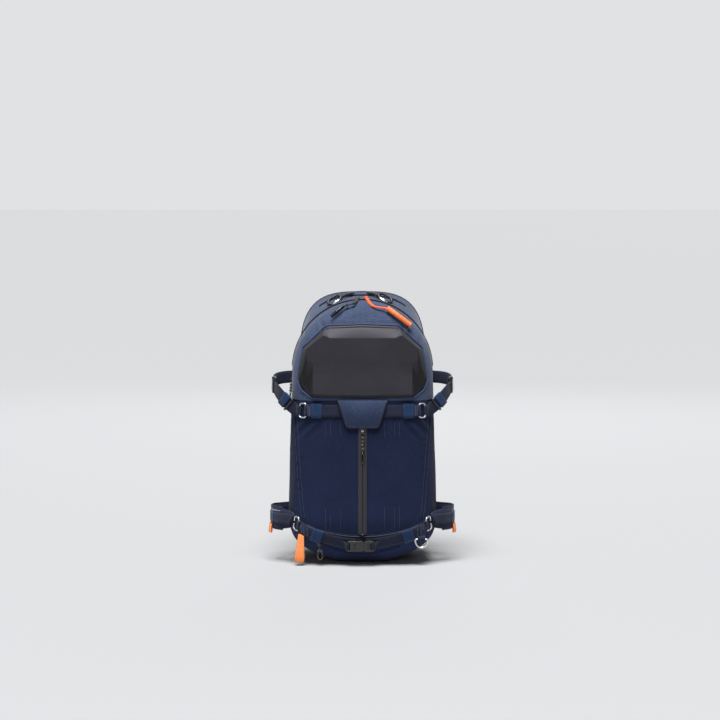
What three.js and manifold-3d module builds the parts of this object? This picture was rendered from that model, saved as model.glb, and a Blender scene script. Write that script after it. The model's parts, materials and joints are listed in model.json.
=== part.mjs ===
// A ski touring backpack of about 30 litres: three fabric bags on a stiffened back, a moulded lid
// over the top pocket, ski straps with hooks, zips with their pulls, and a padded harness.
// Millimetres. +Z is up, +X is to the right of someone who looks at the pack's outer face, and +Y
// points to the wearer. The origin is the middle of the flat base.
import * as THREE from "three";
import { mergeVertices } from "three/addons/utils/BufferGeometryUtils.js";
import Module from "manifold-3d";

const wasm = await Module();
wasm.setup();

// ---- Driving dimensions -------------------------------------------------------------------------

const WALL = 3; // fabric with its lining and foam
const GAP = 0.4; // between pieces that touch

const ZIP_Y = -50; // plane of the front zip
const BACK_Y = 50; // plane of the back
const ARCH_Z = 387; // spring line of the arched top
const ARCH_R = 142; // half width there, and radius of the arch
const FLARE = 8; // how much wider each side is at FLARE_Z
const FLARE_Z = 100;
const BACK_HALF = 128; // half width of the back at the spring line
const BACK_FLARE = 14;
const BACK_TOP = 541;
const BACK_POWER = 3.2; // squareness of the back's arch

const BASE_FLAT = 45; // half width of the flat base
const BASE_END = 160; // half width at which the underside has risen by BASE_RISE
const BASE_RISE = 52;
const BASE_POWER = 1.35;

const DEPTH_TOP = 62; // the front stands this far out of the zip plane at the spring line
const DEPTH_LOW = 85; // and this far at DEPTH_LOW_Z
const DEPTH_LOW_Z = 90;
const ROLL = 100; // width of the rounded border of the front
const ROLL_POWER = 2.5;
const CORNER_POWER = 6;

const SEAM_Z = 60; // height of the curved seam over the base, at the middle
const SEAM_BEND = 0.00174; // how fast it rises to the sides, per mm
const LID_Z = 331; // lower edge of the moulded lid's fabric
const LID_AXIS_OUT = 10; // the lid folds about a line this far in front of the fabric

const EVA_THICK = 4;
const EVA_RISE = 7; // height of the moulded face over the middle of the fabric
const EVA_RIM = 1; // height of its border

const MAIN_LID_HALF = 70; // half length of the top opening
const MAIN_LID_FRONT = 15;
const MAIN_LID_REAR = 43;
const MAIN_LID_GAP = 2.2; // clearance at its front edge, which swings forward a little
const MAIN_ZIP_R = 202; // bend of the top zip
const MAIN_ZIP_Y = 8;

const WEB = 25; // width of the ski straps
const WEB_THICK = 1.6;
const FRONT_STRAP_Z = 311;
const UPPER_HOOK_X = 112;
const LOWER_HOOK_X = 127;
const LOWER_HOOK_RISE = 4; // its middle over the strap's
const BASE_STRAP_Z = 46; // at the middle
const BASE_STRAP_BEND = 0.002;
const HOOK = { wide: 14.5, tall: 28, wire: 1.5, corner: 4, mouth: 5 };

const FLAP = { top: 333, low: 278, halfTop: 48.5, halfLow: 32, thick: 2 };
const BUCKLE = { wide: 24, thick: 9, socket: 35, plug: 21, wall: 2.2, prong: 17 };
const SLIDER = { long: 10, wide: 7, high: 5 };
const ZIP_TAPE = 7;

const STRAP = { wide: 60, thick: 10 }; // shoulder strap
const HIP = { thick: 10, z: 88 };
const SMALL_WEB = 20;
const HIP_WEB = 38;
const PAD = { thick: 14, half: 104, low: 45, high: 500, bevel: 4 };

// ---- Materials ----------------------------------------------------------------------------------

function finish(color, roughness, metalness = 0) {
  return new THREE.MeshStandardMaterial({ color, roughness, metalness });
}
const NAVY = finish(0x262d46, 0.85);
const NAVY_LIGHT = finish(0x4b5a7b, 0.85);
const WEBBING = finish(0x2c3248, 0.8);
const BLACK_FOAM = finish(0x303038, 0.75);
const BLACK_PLASTIC = finish(0x141416, 0.35);
const BLACK_MESH = finish(0x1d1d22, 0.95);
const STEEL = finish(0xc9ccd0, 0.25, 1);
const ALUMINIUM = finish(0xb4b8bd, 0.4, 1);
const SHEET_PLASTIC = finish(0xd8dade, 0.5);
const ORANGE = finish(0xf2581b, 0.6);

// ---- Meshes and solids --------------------------------------------------------------------------

const pack = new THREE.Group();

// A body that moves is a group whose origin is its joint and whose Z axis is the joint's axis.
function body(parent, origin, axis = [0, 0, 1]) {
  const group = new THREE.Group();
  group.position.set(...origin);
  group.quaternion.setFromUnitVectors(new THREE.Vector3(0, 0, 1), vec(axis).normalize());
  pack.add(group);
  pack.updateMatrixWorld(true);
  parent.attach(group);
  return group;
}

function piece(owner, name, geometry, material) {
  const mesh = new THREE.Mesh(geometry, material);
  mesh.name = name;
  pack.updateMatrixWorld(true);
  owner.attach(mesh);
  return mesh;
}

function vec(a) {
  return new THREE.Vector3(...a);
}

function toSolid(geometry) {
  const bare = geometry.clone();
  bare.deleteAttribute("normal");
  bare.deleteAttribute("uv");
  const merged = mergeVertices(bare, 1e-3);
  const triVerts = new Uint32Array(merged.index.array);
  const vertProperties = merged.attributes.position.array;
  return new wasm.Manifold(new wasm.Mesh({ numProp: 3, vertProperties, triVerts }));
}

function toGeometry(solid) {
  const mesh = solid.getMesh();
  const geometry = new THREE.BufferGeometry();
  geometry.setAttribute("position", new THREE.BufferAttribute(mesh.vertProperties, 3));
  geometry.setIndex(new THREE.BufferAttribute(mesh.triVerts, 1));
  geometry.computeVertexNormals();
  return geometry;
}

function join(...geometries) {
  return toGeometry(geometries.map(toSolid).reduce((a, b) => a.add(b)));
}

function cut(geometry, ...tools) {
  return toGeometry(tools.map(toSolid).reduce((a, b) => a.subtract(b), toSolid(geometry)));
}

function block(x, y, z) {
  const made = new THREE.BoxGeometry(x[1] - x[0], y[1] - y[0], z[1] - z[0]);
  return made.translate((x[0] + x[1]) / 2, (y[0] + y[1]) / 2, (z[0] + z[1]) / 2);
}

// Joins rings with the same number of points into a closed solid, with a fan over each end.
function loft(rings) {
  const count = rings[0].length;
  const points = rings.flat();
  const faces = [];
  for (let r = 0; r + 1 < rings.length; r++) {
    for (let i = 0; i < count; i++) {
      const a = r * count + i;
      const b = r * count + ((i + 1) % count);
      faces.push(a, b, b + count, a, b + count, a + count);
    }
  }
  for (const r of [0, rings.length - 1]) {
    const middle = new THREE.Vector3();
    rings[r].forEach((p) => middle.addScaledVector(p, 1 / count));
    const centre = points.push(middle) - 1;
    for (let i = 0; i < count; i++) {
      const [a, b] = [r * count + i, r * count + ((i + 1) % count)];
      faces.push(...(r > 0 ? [a, b, centre] : [b, a, centre]));
    }
  }
  const geometry = new THREE.BufferGeometry().setFromPoints(points);
  geometry.setIndex(faces);
  if (signedVolume(points, faces) < 0) {
    for (let i = 0; i < faces.length; i += 3) {
      [faces[i + 1], faces[i + 2]] = [faces[i + 2], faces[i + 1]];
    }
    geometry.setIndex(faces);
  }
  geometry.computeVertexNormals();
  return geometry;
}

function signedVolume(points, faces) {
  let sum = 0;
  for (let i = 0; i < faces.length; i += 3) {
    const [a, b, c] = [points[faces[i]], points[faces[i + 1]], points[faces[i + 2]]];
    sum += a.dot(new THREE.Vector3().crossVectors(b, c)) / 6;
  }
  return sum;
}

// A round bar whose radius may change, along a smooth curve through the points.
function sweep(points, radii, sides = 8, steps = 3 * points.length) {
  const curve = new THREE.CatmullRomCurve3(points.map(vec), false, "centripetal");
  const frames = curve.computeFrenetFrames(steps, false);
  const rings = [];
  for (let s = 0; s <= steps; s++) {
    const place = (s / steps) * (points.length - 1);
    const i = Math.min(Math.floor(place), points.length - 2);
    const radius = THREE.MathUtils.lerp(radii[i], radii[i + 1], place - i);
    const centre = curve.getPoint(s / steps);
    const ring = [];
    for (let k = 0; k < sides; k++) {
      const a = (k / sides) * 2 * Math.PI;
      const out = frames.normals[s].clone().multiplyScalar(Math.cos(a) * radius);
      out.addScaledVector(frames.binormals[s], Math.sin(a) * radius);
      ring.push(centre.clone().add(out));
    }
    rings.push(ring);
  }
  return loft(rings);
}

// A band through points in space whose width stays close to a given direction. Width and thickness
// are functions of the place from 0 to 1. A soft band has its four long edges cut off.
function bandAlong(points, across, width, thick, steps = 24, soft = 0) {
  const curve = new THREE.CatmullRomCurve3(points.map(vec), false, "centripetal");
  const rings = [];
  for (let s = 0; s <= steps; s++) {
    const t = s / steps;
    const along = curve.getTangent(t);
    const side = vec(across).addScaledVector(along, -vec(across).dot(along)).normalize();
    const out = new THREE.Vector3().crossVectors(along, side);
    const [w, h] = [width(t) / 2, thick(t) / 2];
    const edge = [
      [-w + soft, -h],
      [w - soft, -h],
      [w, -h + soft],
      [w, h - soft],
      [w - soft, h],
      [-w + soft, h],
      [-w, h - soft],
      [-w, -h + soft],
    ];
    const section = soft > 0 ? edge : [edge[0], edge[1], edge[4], edge[5]];
    const middle = curve.getPoint(t);
    rings.push(
      section.map(([a, b]) => middle.clone().addScaledVector(side, a).addScaledVector(out, b)),
    );
  }
  return loft(rings);
}

const even = (size) => () => size;

// A size that runs evenly from the first value to the last.
const sized = (...sizes) => (t) => {
  const place = Math.min(t, 1) * (sizes.length - 1);
  const i = Math.min(Math.floor(place), sizes.length - 2);
  return THREE.MathUtils.lerp(sizes[i], sizes[i + 1], place - i);
};

// Puts a shape made round its own origin in place: x and z are the directions of its own axes.
function put(geometry, origin, x, z) {
  const zAxis = vec(z).normalize();
  const xAxis = vec(x).addScaledVector(zAxis, -vec(x).dot(zAxis)).normalize();
  const yAxis = new THREE.Vector3().crossVectors(zAxis, xAxis);
  const frame = new THREE.Matrix4().makeBasis(xAxis, yAxis, zAxis).setPosition(...origin);
  return geometry.clone().applyMatrix4(frame);
}

function roundedRect(width, height, radius) {
  const [w, h, r] = [width / 2, height / 2, Math.min(radius, width / 2.01, height / 2.01)];
  const shape = new THREE.Shape();
  shape.absarc(w - r, h - r, r, 0, Math.PI / 2);
  shape.absarc(-w + r, h - r, r, Math.PI / 2, Math.PI);
  shape.absarc(-w + r, -h + r, r, Math.PI, 1.5 * Math.PI);
  shape.absarc(w - r, -h + r, r, 1.5 * Math.PI, 2 * Math.PI);
  return shape;
}

function plate(shape, depth, curveSegments = 3) {
  return new THREE.ExtrudeGeometry(shape, { depth, bevelEnabled: false, curveSegments });
}

// ---- The pack's outer surface -------------------------------------------------------------------

const MID_Z = 260; // the rings of the surface spread from here

function underside(x) {
  const out = Math.max(0, (Math.abs(x) - BASE_FLAT) / (BASE_END - BASE_FLAT));
  return BASE_RISE * out ** BASE_POWER;
}

function flankHalf(z, top, flare) {
  return top + (flare * Math.max(0, ARCH_Z - Math.max(z, FLARE_Z))) / (ARCH_Z - FLARE_Z);
}

function corner(side, low) {
  return (side ** CORNER_POWER + low ** CORNER_POWER) ** (1 / CORNER_POWER);
}

// 0 on the flat middle of the front, 1 on the outline at the zip plane.
function frontEdge(x, z, inset) {
  if (z >= ARCH_Z) {
    return Math.max(0, 1 - (ARCH_R - inset - Math.hypot(x, z - ARCH_Z)) / ROLL);
  }
  const side = Math.max(0, 1 - (flankHalf(z, ARCH_R, FLARE) - inset - Math.abs(x)) / ROLL);
  const low = Math.max(0, 1 - (z - underside(x) - inset) / ROLL);
  return corner(side, low);
}

function backEdge(x, z, inset) {
  if (z >= ARCH_Z) {
    const across = Math.abs(x) / (BACK_HALF - inset);
    const up = (z - ARCH_Z) / (BACK_TOP - ARCH_Z - inset);
    return (across ** BACK_POWER + up ** BACK_POWER) ** (1 / BACK_POWER);
  }
  const side = Math.max(0, 1 - (flankHalf(z, BACK_HALF, BACK_FLARE) - inset - Math.abs(x)) / ROLL);
  const low = Math.max(0, 1 - (z - underside(x) - inset) / ROLL);
  return corner(side, low);
}

function depth(z) {
  const down = Math.min(1, Math.max(0, (ARCH_Z - z) / (ARCH_Z - DEPTH_LOW_Z)));
  return DEPTH_TOP + (DEPTH_LOW - DEPTH_TOP) * down;
}

function frontY(x, z, inset = 0) {
  const edge = Math.min(1, frontEdge(x, z, inset));
  return ZIP_Y - (depth(z) - inset) * (1 - edge ** ROLL_POWER) ** (1 / ROLL_POWER);
}

// Distance from the middle to an outline, in a direction given by its angle.
function reach(edge, angle, inset) {
  let [near, far] = [0, 500];
  for (let i = 0; i < 40; i++) {
    const r = (near + far) / 2;
    const inside = edge(r * Math.cos(angle), MID_Z + r * Math.sin(angle), inset) < 1;
    [near, far] = inside ? [r, far] : [near, r];
  }
  return near;
}

// Half width of the pack at a height, on a plane between the zip and the back.
function flankX(y, z) {
  const s = Math.max(0, (y - ZIP_Y) / (BACK_Y - ZIP_Y));
  const at = (edge) => {
    let [near, far] = [0, 300];
    for (let i = 0; i < 40; i++) {
      const x = (near + far) / 2;
      [near, far] = edge(x, z, 0) < 1 ? [x, far] : [near, x];
    }
    return near;
  };
  return THREE.MathUtils.lerp(at(frontEdge), at(backEdge), s);
}

// Height of the crest at x, on a plane between the zip and the back.
function crestZ(x, y) {
  const s = (y - ZIP_Y) / (BACK_Y - ZIP_Y);
  const front = ARCH_Z + Math.sqrt(ARCH_R ** 2 - x ** 2);
  const rear = 1 - (Math.abs(x) / BACK_HALF) ** BACK_POWER;
  const back = ARCH_Z + (BACK_TOP - ARCH_Z) * rear ** (1 / BACK_POWER);
  return THREE.MathUtils.lerp(front, back, s);
}

// A point of the front surface moved out by a height, and the surface's normal there.
function frontNormal(x, z) {
  const h = 0.5;
  const dx = (frontY(x + h, z) - frontY(x - h, z)) / (2 * h);
  const dz = (frontY(x, z + h) - frontY(x, z - h)) / (2 * h);
  return new THREE.Vector3(dx, -1, dz).normalize();
}

function onFront(x, z, height = 0) {
  const p = new THREE.Vector3(x, frontY(x, z), z).addScaledVector(frontNormal(x, z), height);
  return p.toArray();
}

const RAYS = 44;
const RINGS = [0.2, 0.4, 0.55, 0.67, 0.77, 0.85, 0.91, 0.955, 0.985, 1];
const BACK_RINGS = [0.33, 0.66, 1];

function bagSolid(inset, backY) {
  const angles = Array.from({ length: RAYS }, (_, i) => (i / RAYS) * 2 * Math.PI);
  const front = angles.map((a) => reach(frontEdge, a, inset));
  const back = angles.map((a) => reach(backEdge, a, inset));
  const rings = RINGS.map((q) =>
    angles.map((a, i) => {
      const [x, z] = [q * front[i] * Math.cos(a), MID_Z + q * front[i] * Math.sin(a)];
      return new THREE.Vector3(x, q === 1 ? ZIP_Y : frontY(x, z, inset), z);
    }),
  );
  const ringAt = (s, y) =>
    angles.map((a, i) => {
      const r = THREE.MathUtils.lerp(front[i], back[i], s);
      return new THREE.Vector3(r * Math.cos(a), y, MID_Z + r * Math.sin(a));
    });
  BACK_RINGS.forEach((s) => rings.push(ringAt(s, THREE.MathUtils.lerp(ZIP_Y, BACK_Y, s))));
  if (backY > BACK_Y) rings.push(ringAt(1, backY));
  return loft(rings);
}

const FAR = 800; // beyond the pack on every side

function aboveSeam(shift) {
  const shape = new THREE.Shape();
  const steps = 24;
  shape.moveTo(-FAR, 2 * FAR);
  for (let i = 0; i <= steps; i++) {
    const x = THREE.MathUtils.lerp(-BASE_END - 20, BASE_END + 20, i / steps);
    if (i === 0) shape.lineTo(-FAR, SEAM_Z + SEAM_BEND * x ** 2 + shift);
    shape.lineTo(x, SEAM_Z + SEAM_BEND * x ** 2 + shift);
  }
  shape.lineTo(FAR, SEAM_Z + SEAM_BEND * (BASE_END + 20) ** 2 + shift);
  shape.lineTo(FAR, 2 * FAR);
  return plate(shape, 2 * FAR).rotateX(Math.PI / 2).translate(0, FAR, 0);
}

function box(x, y, z) {
  return toSolid(block(x, y, z));
}

const ALL = [-FAR, FAR];
const outer = toSolid(bagSolid(0, BACK_Y));
const inner = toSolid(bagSolid(WALL, BACK_Y + 10));
const skin = outer.subtract(inner);
const over = toSolid(aboveSeam(GAP / 2));
const under = toSolid(aboveSeam(-GAP / 2));
const fore = box(ALL, [-FAR, ZIP_Y - GAP / 2], ALL);
const aft = box(ALL, [ZIP_Y + GAP / 2, FAR], ALL);

piece(pack, "base_bag", toGeometry(skin.subtract(under)), NAVY);

const upperFront = skin.intersect(over).intersect(fore);
const frontBag = upperFront.intersect(box(ALL, ALL, [0, LID_Z - GAP / 2]));
piece(pack, "front_bag", toGeometry(frontBag), NAVY);

// ---- Main bag, with a divider behind the front bag, and its top opening --------------------------

const divider = outer
  .intersect(box(ALL, [ZIP_Y + GAP / 2, ZIP_Y + GAP / 2 + WALL], ALL))
  .intersect(over);
const topHole = box(
  [-MAIN_LID_HALF - GAP, MAIN_LID_HALF + GAP],
  [MAIN_LID_FRONT - MAIN_LID_GAP, MAIN_LID_REAR + GAP],
  [ARCH_Z, FAR],
);
const mainBag = skin.intersect(over).intersect(aft).add(divider).subtract(topHole);
piece(pack, "main_bag", toGeometry(mainBag), NAVY_LIGHT);

const mainLidAxis = [0, MAIN_LID_REAR, crestZ(0, MAIN_LID_REAR) + 1];
const mainLidBody = body(pack, mainLidAxis, [-1, 0, 0]);
const mainLid = skin.intersect(
  box([-MAIN_LID_HALF, MAIN_LID_HALF], [MAIN_LID_FRONT, MAIN_LID_REAR], [ARCH_Z, FAR]),
);
piece(mainLidBody, "main_lid", toGeometry(mainLid), NAVY_LIGHT);

// ---- Back: plastic sheet, bent stay and the moulded foam pad -------------------------------------

const insideBag = toSolid(bagSolid(WALL + GAP, BACK_Y + 10));
const SHEET_THICK = 2.5;
const SHEET_LOW = 30;
const sheetSolid = insideBag.intersect(box(ALL, [BACK_Y - SHEET_THICK, BACK_Y], [SHEET_LOW, FAR]));
piece(pack, "frame_sheet", toGeometry(sheetSolid), SHEET_PLASTIC);

const STAY_R = 2.5;
const stayY = BACK_Y - SHEET_THICK - STAY_R - GAP - 1;
const stayHalf = [
  [92, stayY, 60],
  [97, stayY, 200],
  [94, stayY, 340],
  [84, stayY, 440],
  [50, stayY, 497],
];
const stayPath = [
  ...stayHalf.map(([x, y, z]) => [-x, y, z]),
  [0, stayY, 510],
  ...[...stayHalf].reverse(),
];
piece(pack, "frame_stay", sweep(stayPath, stayPath.map(() => STAY_R), 8, 30), ALUMINIUM);

function padShape() {
  const shape = new THREE.Shape();
  const { half, low, high } = PAD;
  shape.moveTo(-half + 24, low);
  shape.lineTo(half - 24, low);
  shape.quadraticCurveTo(half, low, half, low + 26);
  shape.lineTo(half - 6, high - 130);
  shape.quadraticCurveTo(half - 10, high, half - 60, high);
  shape.lineTo(-half + 60, high);
  shape.quadraticCurveTo(-half + 10, high, -half + 6, high - 130);
  shape.lineTo(-half, low + 26);
  shape.quadraticCurveTo(-half, low, -half + 24, low);
  return shape;
}
const padGeometry = new THREE.ExtrudeGeometry(padShape(), {
  depth: PAD.thick - 2 * PAD.bevel,
  bevelThickness: PAD.bevel,
  bevelSize: PAD.bevel,
  bevelOffset: -PAD.bevel,
  bevelSegments: 1,
  curveSegments: 5,
});
padGeometry.rotateX(Math.PI / 2).translate(0, BACK_Y + GAP + PAD.thick - PAD.bevel, 0);
piece(pack, "back_pad", padGeometry, BLACK_MESH);

// ---- Top pocket: fabric lid with a moulded foam face --------------------------------------------

const lidAxis = [0, frontY(0, LID_Z) - LID_AXIS_OUT, LID_Z + 1];
const lidBody = body(pack, lidAxis, [1, 0, 0]);

// Corner points of the moulded face, right half, from its top middle to its bottom middle.
const EVA_OUTLINE = [
  [0, 483.5],
  [68, 481],
  [116, 437],
  [128, 372],
  [99, 336.5],
  [0, 335],
];
const EVA_FACE = [
  [0, 460],
  [66, 459],
  [99, 428],
  [100, 402],
  [93, 346],
  [0, 343],
];

// Points over the spring line are given for an arch of DRAWN_R, and grow with the arch.
const DRAWN_R = 142;
function onFace([x, z]) {
  const grow = ARCH_R / DRAWN_R;
  return [x * grow, z > ARCH_Z ? ARCH_Z + (z - ARCH_Z) * grow : z];
}

function bothHalves(points) {
  const right = points.map(onFace);
  const left = right.filter(([x]) => x > 0).map(([x, z]) => [-x, z]);
  return [...right, ...left.reverse()];
}

function evaGeometry() {
  const rim = bothHalves(EVA_OUTLINE).map(([x, z]) => [x, frontY(x, z) - EVA_RIM, z]);
  const face = bothHalves(EVA_FACE).map(([x, z]) => [x, frontY(0, z) - EVA_RISE, z]);
  const back = (points) => points.map(([x, y, z]) => [x, y + EVA_THICK, z]);
  const rings = [back(face), back(rim), rim, face].map((ring) => ring.map(vec));
  return loft(rings);
}
piece(lidBody, "eva_panel", evaGeometry(), BLACK_FOAM);

function evaHole() {
  const shape = new THREE.Shape();
  const middle = [0, 410];
  bothHalves(EVA_OUTLINE).forEach(([x, z], i) => {
    const away = new THREE.Vector2(x - middle[0], z - middle[1]);
    const grown = away.clone().addScaledVector(away.clone().normalize(), GAP + 0.3);
    const place = [middle[0] + grown.x, middle[1] + grown.y];
    i === 0 ? shape.moveTo(...place) : shape.lineTo(...place);
  });
  return plate(shape, FAR).rotateX(Math.PI / 2).translate(0, ZIP_Y - WALL, 0);
}
const lidShell = upperFront
  .intersect(box(ALL, ALL, [LID_Z + GAP / 2, FAR]))
  .subtract(toSolid(evaHole()));
piece(lidBody, "lid_shell", toGeometry(lidShell), NAVY_LIGHT);

// ---- Straps on the front ------------------------------------------------------------------------

// Webbing on the front: its two edges follow the surface at half its width either side of a line.
function frontWeb(line, from, to, width, height, thick = WEB_THICK, steps = 20) {
  const rings = [];
  for (let s = 0; s <= steps; s++) {
    const x = THREE.MathUtils.lerp(from, to, s / steps);
    const slope = line(x + 0.5) - line(x - 0.5);
    const across = new THREE.Vector2(-slope, 1).normalize().multiplyScalar(width / 2);
    const [top, low] = [1, -1].map((k) => [x + k * across.x, line(x) + k * across.y]);
    const middle = [x, line(x)];
    const inside = [low, middle, top].map((p) => vec(onFront(...p, height)));
    const outside = [top, middle, low].map((p) => vec(onFront(...p, height + thick)));
    rings.push([...inside, ...outside]);
  }
  return loft(rings);
}

const WEB_LIFT = 0.9; // webbing over the fabric, so that it clears the fabric's curve
const hookReach = HOOK.wire + GAP;
const frontStrapLine = () => FRONT_STRAP_Z;
const frontStrapEnd = UPPER_HOOK_X - hookReach;
const frontStrap = frontWeb(frontStrapLine, -frontStrapEnd, frontStrapEnd, WEB, WEB_LIFT);
piece(pack, "front_strap", frontStrap, WEBBING);

// A trapezoid of fabric from the lid's lower edge over the strap's middle.
function flapGeometry() {
  const rings = [];
  const steps = 8;
  const height = WEB_LIFT + WEB_THICK + 2 * GAP;
  for (let s = 0; s <= steps; s++) {
    const z = THREE.MathUtils.lerp(FLAP.top - 3, FLAP.low, s / steps);
    const half = THREE.MathUtils.lerp(FLAP.halfTop, FLAP.halfLow, s / steps);
    rings.push([
      vec(onFront(-half, z, height)),
      vec(onFront(0, z, height)),
      vec(onFront(half, z, height)),
      vec(onFront(half, z, height + FLAP.thick)),
      vec(onFront(0, z, height + FLAP.thick)),
      vec(onFront(-half, z, height + FLAP.thick)),
    ]);
  }
  return loft(rings);
}
piece(pack, "strap_flap", flapGeometry(), NAVY_LIGHT);

const baseStrapLine = (x) => BASE_STRAP_Z + BASE_STRAP_BEND * x ** 2;
const baseStrapEnd = LOWER_HOOK_X - hookReach - 0.6;
const UNDER_BUCKLE = 8; // the webbing runs this far under the buckle
const SIDES = [
  ["left", -1],
  ["right", 1],
];
for (const [side, k] of SIDES) {
  const inside = UNDER_BUCKLE + (k < 0 ? 6 : 0);
  const web = frontWeb(baseStrapLine, k * inside, k * baseStrapEnd, WEB - 3, WEB_LIFT, WEB_THICK, 12);
  piece(pack, "base_strap_" + side, web, WEBBING);
}

// ---- Hooks that hold the ski straps -------------------------------------------------------------

// A bent wire ring with a mouth. Its sewn bar lies on its own Z axis and it reaches along +X.
function hookGeometry() {
  const { wide, tall, corner, mouth, wire } = HOOK;
  const [h, c] = [tall / 2, corner];
  const d = c * (1 - Math.SQRT1_2);
  const path = [
    [wide, 0, -mouth / 2],
    [wide, 0, -h + c],
    [wide - d, 0, -h + d],
    [wide - c, 0, -h],
    [c, 0, -h],
    [d, 0, -h + d],
    [0, 0, -h + c],
    [0, 0, 0],
    [0, 0, h - c],
    [d, 0, h - d],
    [c, 0, h],
    [wide - c, 0, h],
    [wide - d, 0, h - d],
    [wide, 0, h - c],
    [wide, 0, mouth / 2],
  ];
  return sweep(path, path.map(() => wire), 6, 30);
}

function hook(name, barX, line, k, rise) {
  const height = WEB_LIFT + WEB_THICK / 2 + HOOK.wire;
  const start = vec(onFront(k * barX, line(barX), height));
  const far = vec(onFront(k * (barX + HOOK.wide), line(barX + HOOK.wide), height));
  const reachDir = far.clone().sub(start).normalize();
  const normal = frontNormal(k * barX, line(barX));
  const bar = new THREE.Vector3().crossVectors(reachDir, normal).normalize();
  const up = bar.z > 0 ? bar : bar.negate();
  start.addScaledVector(up, rise);
  const swing = up.clone().multiplyScalar(-k).toArray();
  const group = body(pack, start.toArray(), swing);
  const made = put(hookGeometry(), start.toArray(), reachDir.toArray(), up.toArray());
  piece(group, name, made, STEEL);
  const outerWire = start.clone().addScaledVector(reachDir, HOOK.wide + hookReach);
  return { outerWire, reachDir, up };
}

const hooks = {};
for (const [side, k] of SIDES) {
  hooks["upper_" + side] = hook("hook_upper_" + side, UPPER_HOOK_X, frontStrapLine, k, 0);
  hooks["lower_" + side] = hook("hook_lower_" + side, LOWER_HOOK_X, baseStrapLine, k, LOWER_HOOK_RISE);
}

// ---- Ski straps at the sides --------------------------------------------------------------------

// Each runs from its hook out round the ski and back to the flank.
const SKI_BUCKLE = { long: 15, wide: WEB + 6, thick: 9, slotWide: WEB + 2, slot: WEB_THICK + 3 };

function flankPoint(y, z, height, k) {
  return [k * (flankX(y, z) + height), y, z];
}

const SEWN = WEB_THICK / 2 + GAP;
const strapSide = flankX(ZIP_Y, 350);
for (const [side, k] of SIDES) {
  const { outerWire, reachDir } = hooks["upper_" + side];
  const start = outerWire.clone().addScaledVector(reachDir, 0.2);
  const leave = start.clone().addScaledVector(reachDir, 8);
  const round = [
    [11, -38, 328],
    [25, -27, 343],
    [34, -11, 354],
    [37, 10, 362],
    [32, 25, 367],
    [18, 35, 370],
  ].map(([out, back, z]) => [k * (strapSide + out), ZIP_Y + back, z]);
  const path = [
    start.toArray(),
    leave.toArray(),
    ...round,
    flankPoint(ZIP_Y + 44, 371, SEWN + 3, k),
    flankPoint(ZIP_Y + 56, 371, SEWN + 0.6, k),
  ];
  piece(pack, "side_strap_" + side, bandAlong(path, [0, 0, 1], even(WEB), even(WEB_THICK), 26), WEBBING);

  const [fore, aft] = [vec(path[4]), vec(path[5])];
  const along = aft.clone().sub(fore).normalize();
  const across = new THREE.Vector3(0, 0, 1).addScaledVector(along, -along.z).normalize();
  const seat = fore.add(aft).multiplyScalar(0.5).toArray();
  const shape = roundedRect(SKI_BUCKLE.wide, SKI_BUCKLE.thick, 3);
  shape.holes.push(roundedRect(SKI_BUCKLE.slotWide, SKI_BUCKLE.slot, 0.4));
  const tunnel = plate(shape, SKI_BUCKLE.long, 2).translate(0, 0, -SKI_BUCKLE.long / 2);
  const placed = put(tunnel, seat, across.toArray(), along.toArray());
  piece(pack, "side_buckle_" + side, placed, BLACK_PLASTIC);
}

const LOOP = { thick: 3, tall: 44, narrow: 20 };
const loopSide = flankX(ZIP_Y, 90);
for (const [side, k] of SIDES) {
  const { outerWire, reachDir } = hooks["lower_" + side];
  const start = outerWire.clone().addScaledVector(reachDir, 4).add(new THREE.Vector3(0, -2.5, 0));
  const leave = start.clone().addScaledVector(reachDir, 7);
  const round = [
    [17, -32, 90],
    [30, -16, 90],
    [35, 6, 90],
    [31, 30, 89],
    [19, 46, 88],
  ].map(([out, back, z]) => [k * (loopSide + out), ZIP_Y + back, z]);
  const path = [
    start.toArray(),
    leave.toArray(),
    ...round,
    flankPoint(ZIP_Y + 60, 88, LOOP.thick / 2 + 2, k),
    flankPoint(ZIP_Y + 74, 88, LOOP.thick / 2 + 1, k),
  ];
  const width = (t) => THREE.MathUtils.lerp(LOOP.narrow, LOOP.tall, Math.min(1, 4 * t));
  piece(pack, "ski_loop_" + side, bandAlong(path, [0, 0, 1], width, even(LOOP.thick), 24), NAVY);
}

// ---- Side-release buckles -----------------------------------------------------------------------

// Both halves lie along X with their flat side on z = 0; the socket's mouth is at the origin and
// it reaches towards -X, and the plug reaches towards +X with its prongs in the socket.
function socketGeometry(s) {
  const { wide, thick, socket, wall, prong } = BUCKLE;
  const shape = roundedRect(socket, wide, 5);
  const hollow = block([-prong - 2, 1], [-wide / 2 + wall, wide / 2 - wall], [wall, thick - wall]);
  const windows = [-1, 1].map((k) =>
    block([-prong + 1, -prong + 11], [k > 0 ? wide / 2 - 3 : -wide, k > 0 ? wide : 3 - wide / 2], [
      wall,
      thick - wall,
    ]),
  );
  const slot = block([-socket + 3, -socket + 7], [4 - wide / 2, wide / 2 - 4], [-1, thick + 1]);
  const solid = plate(shape, thick, 3).translate(-socket / 2, 0, 0);
  return cut(solid, hollow, ...windows, slot).scale(s, s, s);
}

function plugGeometry(s) {
  const { wide, thick, plug, wall, prong } = BUCKLE;
  const c = wall + GAP;
  const inside = wide / 2 - c;
  const tongue = [c, thick - c];
  const base = plate(roundedRect(plug, wide, 4), thick, 3).translate(plug / 2 + GAP, 0, 0);
  const prongs = [-1, 1].map((k) =>
    block([-prong, 3], k > 0 ? [inside - 4, inside] : [-inside, 4 - inside], tongue),
  );
  const guide = block([-prong + 4, 3], [-2, 2], tongue);
  const slot = block([plug - 8, plug - 4], [4 - wide / 2, wide / 2 - 4], [-1, thick + 1]);
  return cut(join(base, ...prongs, guide), slot).scale(s, s, s);
}

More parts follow.
